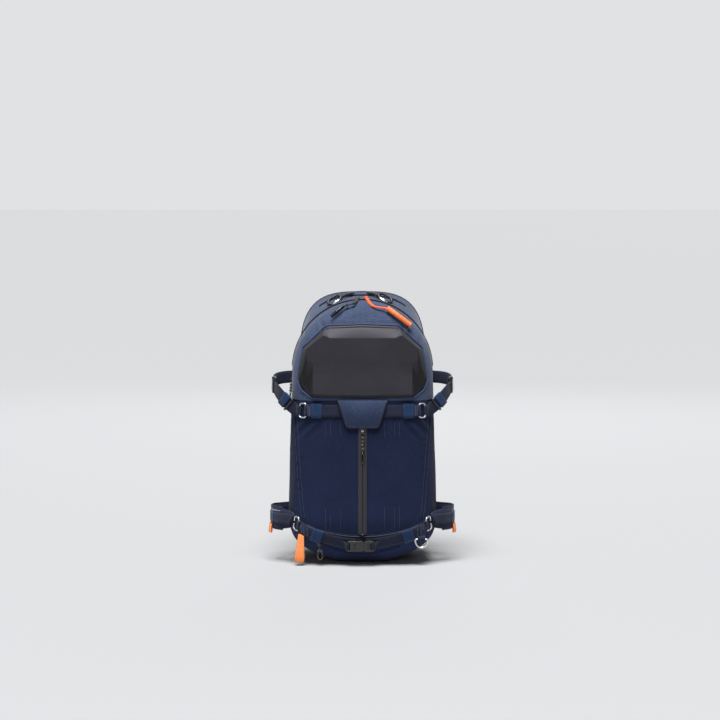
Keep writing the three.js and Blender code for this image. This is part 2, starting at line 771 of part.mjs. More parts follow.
const BUCKLE_LIFT = WEB_LIFT + WEB_THICK + GAP + 1.2;
const BUCKLE_X = 3; // the socket's mouth
const buckleNormal = frontNormal(0, BASE_STRAP_Z).toArray();
const buckleSeat = onFront(BUCKLE_X, BASE_STRAP_Z, BUCKLE_LIFT);
piece(pack, "buckle_socket", put(socketGeometry(1), buckleSeat, [1, 0, 0], buckleNormal), BLACK_PLASTIC);
const plugBody = body(pack, buckleSeat, [1, 0, 0]);
piece(plugBody, "buckle_plug", put(plugGeometry(1), buckleSeat, [1, 0, 0], buckleNormal), BLACK_PLASTIC);

// ---- Loops on the base --------------------------------------------------------------------------

// The plane that touches the front over a range of x and z.
function clearOfBase(x, z) {
  const places = Array.from({ length: 9 }, (_, i) => i / 8);
  const at = (range, t) => THREE.MathUtils.lerp(range[0], range[1], t);
  return Math.min(...places.flatMap((a) => places.map((b) => frontY(at(x, a), at(z, b)))));
}

// The ice axe loop: folded webbing that hangs under the strap at the left.
const AXE_LOOP = { x: -126, top: 57, low: 7, wide: 20, gap: 9, thick: 2 };
{
  const { x, top, low, wide, gap, thick } = AXE_LOOP;
  const y = clearOfBase([x - wide / 2, x + wide / 2], [low, top]) - (gap + thick) / 2 - 1.2;
  const path = [
    [x, y + gap / 2, top],
    [x, y + gap / 2, (top + low) / 2],
    [x, y + gap / 2 - 0.5, low + 7],
    [x, y, low + 1],
    [x, y - gap / 2 + 0.5, low + 7],
    [x, y - gap / 2, (top + low) / 2],
    [x, y - gap / 2 + 1, top],
  ];
  piece(pack, "axe_loop", bandAlong(path, [1, 0, 0], even(wide), even(thick), 16), ORANGE);
}

// A half ring for a gear loop at the right.
const RING = { x: 118, z: 53, r: 12.5, wire: 1.6 };
{
  const { x, z, r, wire } = RING;
  const y = clearOfBase([x - r, x + r], [z - 1.5 * r, z]) - 3 * wire;
  const path = [[x - r, y, z]];
  for (let i = 1; i < 8; i++) {
    const a = Math.PI * (1 + i / 8);
    path.push([x + r * Math.cos(a), y, z + 1.3 * r * Math.sin(a)]);
  }
  path.push([x + r, y, z]);
  const ringBody = body(pack, [x, y, z], [-1, 0, 0]);
  piece(ringBody, "gear_ring", sweep(path, path.map(() => wire), 6, 16), STEEL);
}

const HAUL = { half: 30, y: BACK_Y + 8, foot: BACK_TOP - 35, top: BACK_TOP - 1, wide: 12, thick: 3 };
{
  const { half, y, foot, top, wide, thick } = HAUL;
  const path = [
    [-half, y, foot],
    [-half + 1, y + 1, top - 12],
    [-half + 12, y + 2, top],
    [half - 12, y + 2, top],
    [half - 1, y + 1, top - 12],
    [half, y, foot],
  ];
  piece(pack, "haul_loop", bandAlong(path, [0, 1, 0], even(wide), even(thick), 18), WEBBING);
}

// ---- Zips ---------------------------------------------------------------------------------------

const TAPE_THICK = 1;

// A strip of zip tape over the crest, on planes y, between two angles or two widths.
function crestTape(point, y0, y1, from, to, steps) {
  const rings = [];
  for (let s = 0; s <= steps; s++) {
    const t = THREE.MathUtils.lerp(from, to, s / steps);
    rings.push([
      vec(point(t, y0, GAP)),
      vec(point(t, y1, GAP)),
      vec(point(t, y1, GAP + TAPE_THICK)),
      vec(point(t, y0, GAP + TAPE_THICK)),
    ]);
  }
  return loft(rings);
}

const FRONT_ZIP_END = (86 * Math.PI) / 180;
const onArch = (a, y, height) => {
  const s = (y - ZIP_Y) / (BACK_Y - ZIP_Y);
  const [x, z] = [ARCH_R * Math.sin(a), ARCH_Z + ARCH_R * Math.cos(a)];
  const top = crestZ(Math.max(-BACK_HALF + 1, Math.min(BACK_HALF - 1, x)), y) - z;
  const grow = Math.abs(a) < 1 ? Math.max(0, top * Math.cos(a)) : s * ARCH_R * 0.12;
  const r = ARCH_R + grow + height;
  return [r * Math.sin(a), y, ARCH_Z + r * Math.cos(a)];
};
const frontTape = crestTape(
  onArch, ZIP_Y + 1, ZIP_Y + 1 + ZIP_TAPE, -FRONT_ZIP_END, FRONT_ZIP_END, 30,
);
piece(pack, "front_zip_tape", frontTape, BLACK_MESH);

const onCrest = (x, y, height) => [x, y, crestZ(x, y) + height];
const topTape = crestTape(onCrest, MAIN_ZIP_Y - 4.5, MAIN_ZIP_Y + 4, -88, 88, 18);
piece(pack, "main_zip_tape", topTape, BLACK_MESH);

// The slider lies on the XY plane and travels along X. Its bail stands up in the middle.
function sliderGeometry() {
  const { long, wide, high } = SLIDER;
  const side = new THREE.Shape();
  side.moveTo(-long / 2, 0);
  side.lineTo(long / 2, 0);
  side.lineTo(long / 2, high * 0.45);
  side.lineTo(long * 0.3, high * 0.6);
  side.lineTo(long * 0.2, high);
  side.lineTo(-long * 0.25, high);
  side.lineTo(-long * 0.32, high * 0.6);
  side.lineTo(-long / 2, high * 0.45);
  return plate(side, wide).rotateX(Math.PI / 2).translate(0, wide / 2, 0);
}

// A slider on its own body, and its pull on a body that hangs from it.
// hang is the first point of the pull, next to the slider's bail.
function zip({ owner, name, seat, along, out, axis, pivot, hang, pull, lift, material, pullMaterial }) {
  const sliderBody = body(owner, pivot, axis);
  piece(sliderBody, name + "_slider", put(sliderGeometry(), seat, along, out), material);
  const pullBody = body(sliderBody, hang, lift);
  piece(pullBody, name + "_pull", pull, pullMaterial);
}

const PULL_HEIGHT = 3.6; // middle of a pull over the surface
const CORD_R = 1.3;
const TUBE_R = 5; // the orange grip
const TUBE_LIFT = TUBE_R - 1.2;

// Front zip: two sliders at the crest, whose pulls lie over the front.
const SLIDER_GAP = 2;
const archAxis = [0, ZIP_Y, ARCH_Z];
function frontZip(name, angle, radii, points, material) {
  const r = ARCH_R + GAP + TAPE_THICK + SLIDER_GAP;
  const out = [Math.sin(angle), 0, Math.cos(angle)];
  const along = [Math.cos(angle), 0, -Math.sin(angle)];
  const seat = [r * out[0], ZIP_Y, ARCH_Z + r * out[2]];
  const hang = [seat[0], ZIP_Y - SLIDER.wide / 2 - CORD_R - GAP, seat[2] + 1.5];
  const over = points.map(([x, z, height]) => onFront(...onFace([x, z]), height));
  zip({
    owner: lidBody,
    name,
    seat,
    along,
    out,
    axis: [0, 1, 0],
    pivot: archAxis,
    hang,
    pull: sweep([hang, ...over], radii, 8),
    lift: [-1, 0, 0],
    material,
    pullMaterial: material,
  });
}
frontZip(
  "front_left",
  -0.065,
  [CORD_R, CORD_R, CORD_R, 2.6, 3, 2.2],
  [
    [-15, 521, 3],
    [-30, 516, PULL_HEIGHT],
    [-38, 512, PULL_HEIGHT + 0.6],
    [-50, 503, PULL_HEIGHT + 0.6],
    [-60, 495, PULL_HEIGHT],
  ],
  BLACK_PLASTIC,
);
frontZip(
  "front_right",
  0.05,
  [CORD_R, CORD_R, CORD_R, TUBE_R, TUBE_R, TUBE_R],
  [
    [20, 517, PULL_HEIGHT],
    [42, 511, PULL_HEIGHT + 2],
    [48, 509, PULL_HEIGHT + TUBE_LIFT],
    [70, 494, PULL_HEIGHT + TUBE_LIFT],
    [92, 477, PULL_HEIGHT + TUBE_LIFT],
  ],
  ORANGE,
);

// Top zip: two sliders, each with a cord and a six-sided grip.
const GRIP = { half: 14, high: 7.5, chamfer: 5, thick: 4 };
function gripGeometry() {
  const shape = new THREE.Shape();
  const [w, h, c] = [GRIP.half, GRIP.high, GRIP.chamfer];
  [[w, h - c], [w - c, h], [c - w, h], [-w, h - c], [-w, c - h], [c - w, -h], [w - c, -h], [w, c - h]]
    .forEach(([x, y], i) => (i ? shape.lineTo(x, y) : shape.moveTo(x, y)));
  shape.holes.push(roundedRect(18, 6.5, 2));
  return plate(shape, GRIP.thick, 2).translate(0, 0, -GRIP.thick / 2);
}
const mainAxis = [0, MAIN_ZIP_Y, crestZ(0, MAIN_ZIP_Y) - MAIN_ZIP_R];
function mainZip(name, angle, reachX, k) {
  const r = MAIN_ZIP_R + GAP + TAPE_THICK + SLIDER_GAP;
  const out = [Math.sin(angle), 0, Math.cos(angle)];
  const seat = [r * out[0], MAIN_ZIP_Y, mainAxis[2] + r * out[2]];
  const hang = [seat[0], MAIN_ZIP_Y - SLIDER.wide / 2 - CORD_R - GAP, seat[2] + 2];
  const place = (x, y, height) => [x, y, crestZ(x, y) + height];
  const middle = place(reachX, -24, 6);
  const away = vec(place(reachX - 13 * k, -18, 6)).sub(vec(middle)).normalize();
  const near = vec(middle).addScaledVector(away, GRIP.half - 2).toArray();
  const x = away.clone().negate().toArray();
  const grip = put(gripGeometry(), middle, x, [0.28 * k, -0.2, 1]);
  const half = [(hang[0] + near[0]) / 2, -6, (hang[2] + near[2]) / 2 + 2];
  const cord = sweep([hang, half, near], [CORD_R, CORD_R, CORD_R], 6);
  zip({
    owner: pack,
    name,
    seat,
    along: [Math.cos(angle), 0, -Math.sin(angle)],
    out,
    axis: [0, 1, 0],
    pivot: mainAxis,
    hang,
    pull: join(cord, grip),
    lift: [-1, 0, 0],
    material: BLACK_PLASTIC,
    pullMaterial: BLACK_PLASTIC,
  });
}
mainZip("main_left", -0.1, -57, -1);
mainZip("main_right", 0.06, 46, 1);

// Middle zip: straight down the front bag.
const CENTRE_ZIP = { top: 268, lift: GAP + TAPE_THICK + 1.5 };
{
  const { top, lift } = CENTRE_ZIP;
  const normal = frontNormal(0, top);
  const down = new THREE.Vector3().crossVectors(normal, new THREE.Vector3(1, 0, 0)).normalize();
  const travel = down.z < 0 ? down : down.negate();
  const seat = onFront(0, top, lift);
  const hang = onFront(0, top - SLIDER.long / 2 - CORD_R - GAP, lift + 2);
  const pull = [18, 30, 44, 60].map((d) => onFront(0, top - d, PULL_HEIGHT));
  zip({
    owner: pack,
    name: "centre",
    seat,
    along: travel.toArray(),
    out: normal.toArray(),
    axis: travel.toArray(),
    pivot: seat,
    hang,
    pull: sweep([hang, ...pull], [CORD_R, 1.6, 1.8, 2.6, 2.4], 8),
    lift: [-1, 0, 0],
    material: BLACK_PLASTIC,
    pullMaterial: BLACK_PLASTIC,
  });
}

// Side zip: down the left flank, behind the front zip.
const SIDE_ZIP = { y: -30, top: 366, lift: GAP + TAPE_THICK + 1 };
{
  const { y, top, lift } = SIDE_ZIP;
  const at = (z, height, back = 0) => flankPoint(y + back, z, height, -1);
  const low = at(top - 60, lift);
  const seat = at(top, lift);
  const travel = [low[0] - seat[0], low[1] - seat[1], low[2] - seat[2]];
  const out = [-1, 0, 0];
  const hang = at(top - SLIDER.long / 2 - CORD_R - GAP, lift + 2);
  const pull = [at(top - 16, 4.2, -4), at(top - 26, 4.4, -9), at(top - 40, 4.4, -12)];
  zip({
    owner: pack,
    name: "side",
    seat,
    along: travel,
    out,
    axis: travel,
    pivot: seat,
    hang,
    pull: sweep([hang, ...pull], [CORD_R, 1.6, 2.8, 2.4], 8),
    lift: [0, 1, 0],
    material: BLACK_PLASTIC,
    pullMaterial: BLACK_PLASTIC,
  });
}

// Base zip: follows the base in a shallow curve under the strap.
const BASE_ZIP = { x: -85, low: 24, r: 180, lift: 2.9 };
{
  const { x, low, r, lift } = BASE_ZIP;
  const angle = Math.asin(x / r);
  const z = low + r - r * Math.cos(angle);
  const normal = frontNormal(x, z);
  const seat = onFront(x, z, lift);
  const hang = [seat[0], seat[1] - 2, seat[2] - SLIDER.wide / 2 - CORD_R - 2 * GAP - 1];
  const pull = [10, 20, 31].map((d) => [seat[0] + 1, seat[1] - 2, seat[2] - d]);
  zip({
    owner: pack,
    name: "base",
    seat,
    along: [Math.cos(angle), 0, Math.sin(angle)],
    out: normal.toArray(),
    axis: [0, -1, 0],
    pivot: [0, seat[1], low + r],
    hang,
    pull: sweep([hang, ...pull], [CORD_R, 1.8, 2.2, 1.8], 8),
    lift: [-1, 0, 0],
    material: BLACK_PLASTIC,
    pullMaterial: BLACK_PLASTIC,
  });
}

// ---- Shoulder straps ----------------------------------------------------------------------------

const PAD_FACE = BACK_Y + GAP + PAD.thick;
const strapCentre = PAD_FACE + GAP + STRAP.thick / 2;
const shoulderPath = (k) => [
  [k * 54, strapCentre, 446],
  [k * 55, strapCentre + 2, 470],
  [k * 58, strapCentre + 14, 493],
  [k * 64, strapCentre + 32, 499],
  [k * 72, strapCentre + 48, 479],
  [k * 80, strapCentre + 56, 440],
  [k * 88, strapCentre + 57, 395],
  [k * 95, strapCentre + 53, 350],
  [k * 101, strapCentre + 44, 306],
  [k * 105, strapCentre + 33, 268],
];
const SHOULDER_PIVOT = [0, strapCentre + 2, 470];
const LADDER = { wide: 29, tall: 25, thick: 4.5, slotWide: 21, slot: 4.5, bar: 4 };

// The flat adjuster at the end of a strap: two slots with a bar between.
function ladderGeometry() {
  const { wide, tall, thick, slotWide, slot, bar } = LADDER;
  const shape = roundedRect(wide, tall, 3);
  for (const k of [-1, 1]) {
    const hole = new THREE.Path();
    const [x, y] = [slotWide / 2, (k * (slot + bar)) / 2];
    hole.moveTo(-x, y - slot / 2);
    hole.lineTo(x, y - slot / 2);
    hole.lineTo(x, y + slot / 2);
    hole.lineTo(-x, y + slot / 2);
    shape.holes.push(hole);
  }
  return plate(shape, thick, 2).translate(0, 0, -thick / 2);
}

const shoulders = {};
for (const [side, k] of SIDES) {
  const path = shoulderPath(k);
  const strapBody = body(pack, SHOULDER_PIVOT, [1, 0, 0]);
  const width = sized(50, 56, STRAP.wide, STRAP.wide, STRAP.wide, STRAP.wide, 56, 50, 42, 32);
  const thick = sized(7, STRAP.thick, STRAP.thick, STRAP.thick, STRAP.thick, STRAP.thick, 8);
  const strap = bandAlong(path, [1, 0, 0], width, thick, 26, 2.4);
  piece(strapBody, "shoulder_strap_" + side, strap, BLACK_MESH);

  const end = vec(path[path.length - 1]);
  const along = end.clone().sub(vec(path[path.length - 2])).normalize();
  const middle = end.clone().addScaledVector(along, LADDER.tall / 2 + GAP + 1.6);
  const out = new THREE.Vector3().crossVectors(along, new THREE.Vector3(k, 0, 0)).normalize();
  const face = [out.x * k, out.y * k, out.z * k];
  const lock = put(ladderGeometry(), middle.toArray(), [1, 0, 0], face);
  piece(strapBody, "strap_buckle_" + side, lock, BLACK_PLASTIC);

  const start = end.clone().addScaledVector(along, LADDER.tall + 2 * GAP + 3);
  const web = [
    start.toArray(),
    start.clone().addScaledVector(along, 12).toArray(),
    [k * 121, BACK_Y + 34, 185],
    [k * 130, BACK_Y + 14, 148],
    [k * 134, BACK_Y + 3, 134],
  ];
  const webbing = bandAlong(web, [1, 0, 0], even(SMALL_WEB), even(WEB_THICK), 14);
  piece(pack, "shoulder_web_" + side, webbing, WEBBING);
  shoulders[side] = strapBody;
}

// ---- Sternum strap ------------------------------------------------------------------------------

const STERNUM = { z: 395, y: strapCentre + 57 + STRAP.thick / 2 + 1, outer: 76, inner: 9, scale: 0.8 };
{
  const { z, y, outer: from, inner: to, scale } = STERNUM;
  const face = y + WEB_THICK + GAP;
  const halves = {};
  for (const [side, k] of SIDES) {
    halves[side] = body(shoulders[side], [k * from, y, z], [0, 0, 1]);
    const path = [k * from, (k * (from + to)) / 2, k * to].map((x) => [x, y + WEB_THICK / 2, z]);
    const web = bandAlong(path, [0, 0, 1], even(SMALL_WEB - 1), even(WEB_THICK), 4);
    piece(halves[side], "sternum_web_" + side, web, WEBBING);
  }
  const seat = [0, face, z];
  const socket = put(socketGeometry(scale), seat, [-1, 0, 0], [0, 1, 0]);
  piece(halves.right, "sternum_socket", socket, BLACK_PLASTIC);
  const plugHalf = body(halves.left, seat, [-1, 0, 0]);
  const plug = put(plugGeometry(scale), seat, [-1, 0, 0], [0, 1, 0]);
  piece(plugHalf, "sternum_plug", plug, BLACK_PLASTIC);
}

// ---- Hip belt -----------------------------------------------------------------------------------

const hipPath = (k) => [
  [k * 80, PAD_FACE + GAP + HIP.thick / 2 + 0.4, HIP.z],
  [k * 100, PAD_FACE + 9, HIP.z],
  [k * 118, PAD_FACE + 22, HIP.z],
  [k * 128, PAD_FACE + 44, HIP.z],
  [k * 127, PAD_FACE + 72, HIP.z],
  [k * 116, PAD_FACE + 96, HIP.z],
];
const HIP_PIVOT = [104, PAD_FACE + 10, HIP.z];
const HIP_BUCKLE = { y: PAD_FACE + 126, scale: 1.5, socketX: 30, plugX: -46 };
for (const [side, k] of SIDES) {
  const wingBody = body(pack, [k * HIP_PIVOT[0], HIP_PIVOT[1], HIP_PIVOT[2]], [0, 0, -k]);
  const path = hipPath(k);
  const wing = bandAlong(path, [0, 0, 1], sized(80, 82, 74, 62, 50), even(HIP.thick), 18, 2.4);
  piece(wingBody, "hip_wing_" + side, wing, BLACK_MESH);

  const tip = vec(path[path.length - 1]);
  const along = tip.clone().sub(vec(path[path.length - 2])).normalize();
  const start = tip.clone().addScaledVector(along, GAP + 1);
  const inner = k > 0 ? HIP_BUCKLE.socketX + 46 : -HIP_BUCKLE.plugX + 24;
  const web = [
    start.toArray(),
    start.clone().addScaledVector(along, 10).toArray(),
    [k * (inner + 14), HIP_BUCKLE.y - 4, HIP.z],
    [k * inner, HIP_BUCKLE.y - WEB_THICK, HIP.z],
    [k * (inner - 12), HIP_BUCKLE.y - WEB_THICK, HIP.z],
  ];
  const webbing = bandAlong(web, [0, 0, 1], even(HIP_WEB - 2), even(WEB_THICK), 12);
  piece(wingBody, "hip_web_" + side, webbing, WEBBING);

  const made = k > 0 ? socketGeometry(HIP_BUCKLE.scale) : plugGeometry(HIP_BUCKLE.scale);
  const seat = [k > 0 ? HIP_BUCKLE.socketX : HIP_BUCKLE.plugX, HIP_BUCKLE.y, HIP.z];
  const placed = put(made, seat, [-1, 0, 0], [0, 1, 0]);
  piece(wingBody, k > 0 ? "hip_socket" : "hip_plug", placed, BLACK_PLASTIC);
}

export default pack;
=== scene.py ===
# A ski touring backpack: fabric bags round a stiffened back, a moulded face on the top pocket, ski
# straps with steel hooks, zips with pulls and a padded harness. Metres, in the frame of the solid
# model: +Z up, the outer face towards -Y, the wearer at +Y, the origin in the middle of the base.
import math

import bmesh
import bpy
import numpy as np
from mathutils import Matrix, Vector, noise
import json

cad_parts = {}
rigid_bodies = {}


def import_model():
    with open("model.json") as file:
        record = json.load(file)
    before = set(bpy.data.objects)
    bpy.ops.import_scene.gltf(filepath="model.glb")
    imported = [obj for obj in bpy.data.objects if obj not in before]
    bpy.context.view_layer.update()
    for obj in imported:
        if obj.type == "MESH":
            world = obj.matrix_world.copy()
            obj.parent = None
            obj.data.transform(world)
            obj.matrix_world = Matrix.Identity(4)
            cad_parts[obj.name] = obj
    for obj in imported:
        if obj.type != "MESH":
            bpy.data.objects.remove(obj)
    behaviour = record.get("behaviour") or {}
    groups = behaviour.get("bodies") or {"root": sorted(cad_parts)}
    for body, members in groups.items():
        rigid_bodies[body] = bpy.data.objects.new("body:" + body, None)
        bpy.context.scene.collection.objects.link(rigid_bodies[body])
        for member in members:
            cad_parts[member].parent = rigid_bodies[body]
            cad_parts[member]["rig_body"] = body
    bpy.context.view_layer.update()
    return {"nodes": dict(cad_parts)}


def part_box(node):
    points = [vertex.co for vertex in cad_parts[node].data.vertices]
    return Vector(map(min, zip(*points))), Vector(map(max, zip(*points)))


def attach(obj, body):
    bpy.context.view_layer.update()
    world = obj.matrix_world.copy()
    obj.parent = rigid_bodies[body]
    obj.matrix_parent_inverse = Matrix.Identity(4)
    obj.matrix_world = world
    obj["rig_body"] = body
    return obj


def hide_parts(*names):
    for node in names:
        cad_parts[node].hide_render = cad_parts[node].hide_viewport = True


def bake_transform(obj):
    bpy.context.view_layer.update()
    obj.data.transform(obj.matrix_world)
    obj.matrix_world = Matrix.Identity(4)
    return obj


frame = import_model()

# ---- Studio ---------------------------------------------------------------------------------------
# A pale floor, a large soft light overhead and weaker ones in front and at the sides. The camera
# stands a few metres away with a long lens, a little above the pack.

CAMERA_DISTANCE = 4.5
CAMERA_ELEVATION = math.radians(4.5)
FRAME_HEIGHT = 1.44
LOOK_AT = Vector((-0.005, -0.1, 0.412))

camera_data = bpy.data.cameras.new("camera")
camera_data.lens = camera_data.sensor_width * CAMERA_DISTANCE / FRAME_HEIGHT
camera = bpy.data.objects.new("camera", camera_data)
camera_back = Vector((0, -math.cos(CAMERA_ELEVATION), math.sin(CAMERA_ELEVATION)))
camera.location = LOOK_AT + CAMERA_DISTANCE * camera_back
camera.rotation_euler = (math.pi / 2 - CAMERA_ELEVATION, 0, 0)
bpy.context.scene.collection.objects.link(camera)
bpy.context.scene.camera = camera


def linear(hex_colour, alpha=1.0):
    """A colour written as sRGB hex, in linear light."""
    parts = [int(hex_colour[i : i + 2], 16) / 255 for i in (1, 3, 5)]
    return (*[p / 12.92 if p <= 0.04045 else ((p + 0.055) / 1.055) ** 2.4 for p in parts], alpha)


def add(tree, kind, inputs=(), **settings):
    """Adds a node with its settings, its values and its links."""
    made = tree.nodes.new(kind)
    for key, value in settings.items():
        setattr(made, key, value)
    for key, value in dict(inputs).items():
        if isinstance(value, bpy.types.NodeSocket):
            tree.links.new(value, made.inputs[key])
        else:
            made.inputs[key].default_value = value
    return made


def new_material(name, **values):
    """A material with one shader, whose even values are set on its sockets."""
    material = bpy.data.materials.new(name)
    material.use_nodes = True
    shader = material.node_tree.nodes["Principled BSDF"]
    for key, value in values.items():
        shader.inputs[key.replace("_", " ")].default_value = value
    return material, material.node_tree, shader


def soft_light(name, place, target, width, height, power):
    data = bpy.data.lights.new(name, "AREA")
    data.shape, data.size, data.size_y, data.energy = "RECTANGLE", width, height, power
    light = bpy.data.objects.new(name, data)
    light.location = place
    aim = Vector(target) - Vector(place)
    light.rotation_euler = aim.to_track_quat("-Z", "Y").to_euler()
    bpy.context.scene.collection.objects.link(light)


sun = bpy.data.lights.new("overhead", "SUN")
sun.energy, sun.angle = 6.2, math.radians(34)
sun_lamp = bpy.data.objects.new("overhead", sun)
sun_lamp.rotation_euler = (math.radians(16), math.radians(-3), 0)
bpy.context.scene.collection.objects.link(sun_lamp)
soft_light("front", (-0.4, -3.8, 1.3), (0, 0, 0.3), 1.2, 1.2, 14)
soft_light("left", (-2.4, -1.6, 1.6), (0, 0, 0.3), 0.5, 1.6, 0.8)
soft_light("right", (2.4, -1.6, 1.6), (0, 0, 0.3), 0.5, 1.6, 0.8)
soft_light("behind", (0.3, 3.2, 1.9), (0, 0, 0.3), 2.4, 1.4, 16)

# The studio's wall is white where it's seen, and gives only a dim light.
world = bpy.data.worlds.new("studio")
world.use_nodes = True
world_tree = world.node_tree
seen = add(world_tree, "ShaderNodeLightPath")
wall_light = add(
    world_tree,
    "ShaderNodeMapRange",
    {"Value": seen.outputs["Is Camera Ray"], "To Min": 0.07, "To Max": 0.82},
)
wall = world_tree.nodes["Background"]
wall.inputs["Color"].default_value = linear("#f6f7f8")
world_tree.links.new(wall_light.outputs["Result"], wall.inputs["Strength"])
bpy.context.scene.world = world
bpy.context.scene.view_settings.view_transform = "Standard"

# The floor is a matt paper sweep, so that it gives a soft shadow and no reflection.
paper, paper_tree, paper_shader = new_material("studio_paper", Roughness=0.9)
paper_grain = add(paper_tree, "ShaderNodeTexNoise", {"Scale": 3.0, "Detail": 2.0})
paper_tone = add(
    paper_tree,
    "ShaderNodeMix",
    {"Factor": paper_grain.outputs["Fac"], "A": linear("#a2a3a5"), "B": linear("#a7a8aa")},
    data_type="RGBA",
)
paper_tree.links.new(paper_tone.outputs["Result"], paper_shader.inputs["Base Color"])
FLOOR_HALF = 60
floor_mesh = bpy.data.meshes.new("floor")
floor_corners = [(x * FLOOR_HALF, y * FLOOR_HALF, 0) for x, y in ((-1, -1), (1, -1), (1, 1), (-1, 1))]
floor_mesh.from_pydata(floor_corners, [], [(0, 1, 2, 3)])
floor = bpy.data.objects.new("floor", floor_mesh)
floor.data.materials.append(paper)
bpy.context.scene.collection.objects.link(floor)

# ---- Front bag ------------------------------------------------------------------------------------
# The large lower pocket: navy nylon cut in three panels and sewn over a curved base seam, with a
# seam down each side. It's drawn in by the strap above and by the zip down its middle.

ARCH_Z, ARCH_R = 0.387, 0.142  # spring line of the arched top, and its radius
FRONT_FLARE = 0.008  # how much wider each side of the front is near the base
BACK_HALF, BACK_FLARE = 0.128, 0.014
BACK_RISE, BACK_POWER = 0.154, 3.2  # height and squareness of the back's arch
FLARE_LOW, FLARE_HIGH = 0.1, 0.287
ZIP_Y, BACK_Y = -0.05, 0.05  # planes of the front zip and of the back
ROLL = 0.1  # width of the rounded border of the front
LID_Z = 0.331  # lower edge of the lid
MID = Vector((0, 0, 0.26))
BASE_FLAT, BASE_OUT, BASE_RISE = 0.045, 0.115, 0.052
SEAM_LOW, SEAM_BEND = 0.06, 1.74  # the base seam's height in the middle, and its bend
STRAP_Z = 0.311
BASE_STRAP_Z, BASE_STRAP_BEND = 0.046, 2.0


def underside(x):
    out = np.maximum(0, (np.abs(x) - BASE_FLAT) / BASE_OUT)
    return BASE_RISE * out**1.35


def flank_half(z, top, flare):
    return top + flare * np.maximum(0, ARCH_Z - np.maximum(z, FLARE_LOW)) / FLARE_HIGH


def low_corner(x, z, top, flare):
    side = np.maximum(0, 1 - (flank_half(z, top, flare) - np.abs(x)) / ROLL)
    low = np.maximum(0, 1 - (z - underside(x)) / ROLL)
    return (side**6 + low**6) ** (1 / 6)


def front_edge(x, z):
    """0 on the flat middle of the front, 1 on its outline at the zip."""
    arch = np.maximum(0, 1 - (ARCH_R - np.hypot(x, z - ARCH_Z)) / ROLL)
    return np.where(z >= ARCH_Z, arch, low_corner(x, z, ARCH_R, FRONT_FLARE))


def back_edge(x, z):
    """The same for the outline of the back."""
    up = np.maximum(0, z - ARCH_Z) / BACK_RISE
    arch = ((np.abs(x) / BACK_HALF) ** BACK_POWER + up**BACK_POWER) ** (1 / BACK_POWER)
    return np.where(z >= ARCH_Z, arch, low_corner(x, z, BACK_HALF, BACK_FLARE))


def front_y(x, z):
    """How far out the front stands."""
    down = np.clip((ARCH_Z - z) / 0.297, 0, 1)
    edge = np.minimum(1, front_edge(x, z))
    return ZIP_Y - (0.062 + 0.023 * down) * (1 - edge**2.5) ** 0.4


def base_seam(x):
    return SEAM_LOW + SEAM_BEND * x**2


def base_strap_line(x):
    return BASE_STRAP_Z + BASE_STRAP_BEND * x * x


def on_front(x, z, height=0.0):
    """A point over the front, and the way out there."""
    x, z, h = float(x), float(z), 0.0005
    dx = (front_y(x + h, z) - front_y(x - h, z)) / (2 * h)
    dz = (front_y(x, z + h) - front_y(x, z - h)) / (2 * h)
    out = Vector((float(dx), -1, float(dz))).normalized()
    return Vector((x, float(front_y(x, z)), z)) + out * float(height), out


def reach(edge, angle, middle_z, limit=1.0):
    """How far the outline lies from a middle point, for an array of directions."""
    near, far = np.zeros_like(angle), np.full_like(angle, 0.5)
    for _ in range(40):
        r = (near + far) / 2
        inside = edge(r * np.cos(angle), middle_z + r * np.sin(angle)) < limit
        near, far = np.where(inside, r, near), np.where(inside, far, r)
    return near


def link(obj):
    bpy.context.scene.collection.objects.link(obj)
    return obj


def finished(shape, name, material):
    """A smooth object of one material from a bmesh."""
    mesh = bpy.data.meshes.new(name)
    shape.to_mesh(mesh)
    shape.free()
    mesh.shade_smooth()
    mesh.materials.append(material)
    return link(bpy.data.objects.new(name, mesh))


def fit(piece, node, body):
    """Sets a piece on its body, in place of its solid."""
    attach(piece, body)
    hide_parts(node)


def sew(name, points, uv, material, closed=False):
    """A piece of cloth from rows of points, with its face outwards and its threads along the UVs."""
    rows, columns = points.shape[:2]
    wrap = columns if closed else columns - 1
    r, c = np.meshgrid(np.arange(rows - 1), np.arange(wrap), indexing="ij")
    d = (c + 1) % columns
    quads = np.stack([r * columns + c, r * columns + d, (r + 1) * columns + d, (r + 1) * columns + c], -1)
    mesh = bpy.data.meshes.new(name)
    mesh.from_pydata(points.reshape(-1, 3).tolist(), [], quads.reshape(-1, 4).tolist())
    layer = mesh.uv_layers.new(name="UVMap")
    corners = np.zeros(len(mesh.loops), dtype=np.int32)
    mesh.loops.foreach_get("vertex_index", corners)
    layer.data.foreach_set("uv", uv.reshape(-1, 2)[corners].astype(np.float32).ravel())
    cloth = bmesh.new()
    cloth.from_mesh(mesh)
    bmesh.ops.remove_doubles(cloth, verts=cloth.verts, dist=2e-5)
    bmesh.ops.dissolve_degenerate(cloth, edges=cloth.edges, dist=2e-5)
    outward = sum(f.normal.dot(f.calc_center_median() - MID) * f.calc_area() for f in cloth.faces)
    if outward < 0:
        bmesh.ops.reverse_faces(cloth, faces=cloth.faces)
    cloth.to_mesh(mesh)
    cloth.free()
    mesh.shade_smooth()
    mesh.materials.append(material)
    return link(bpy.data.objects.new(name, mesh))


def rumple(cloth, height, low=-0.004, high=0.0028):
    """Moves each point of a cloth along its normal by height(x, y, z)."""
    vertices = cloth.data.vertices
    moves = [v.normal.copy() * min(high, max(low, height(*v.co))) for v in vertices]
    for v, move in zip(vertices, moves):
        v.co += move
    cloth.data.update()


def line_cloth(cloth, thickness):
    """Gives a cloth its thickness, inwards."""
    wall = cloth.modifiers.new("lining", "SOLIDIFY")
    wall.thickness, wall.offset = thickness, -1
    wall.use_even_offset = False


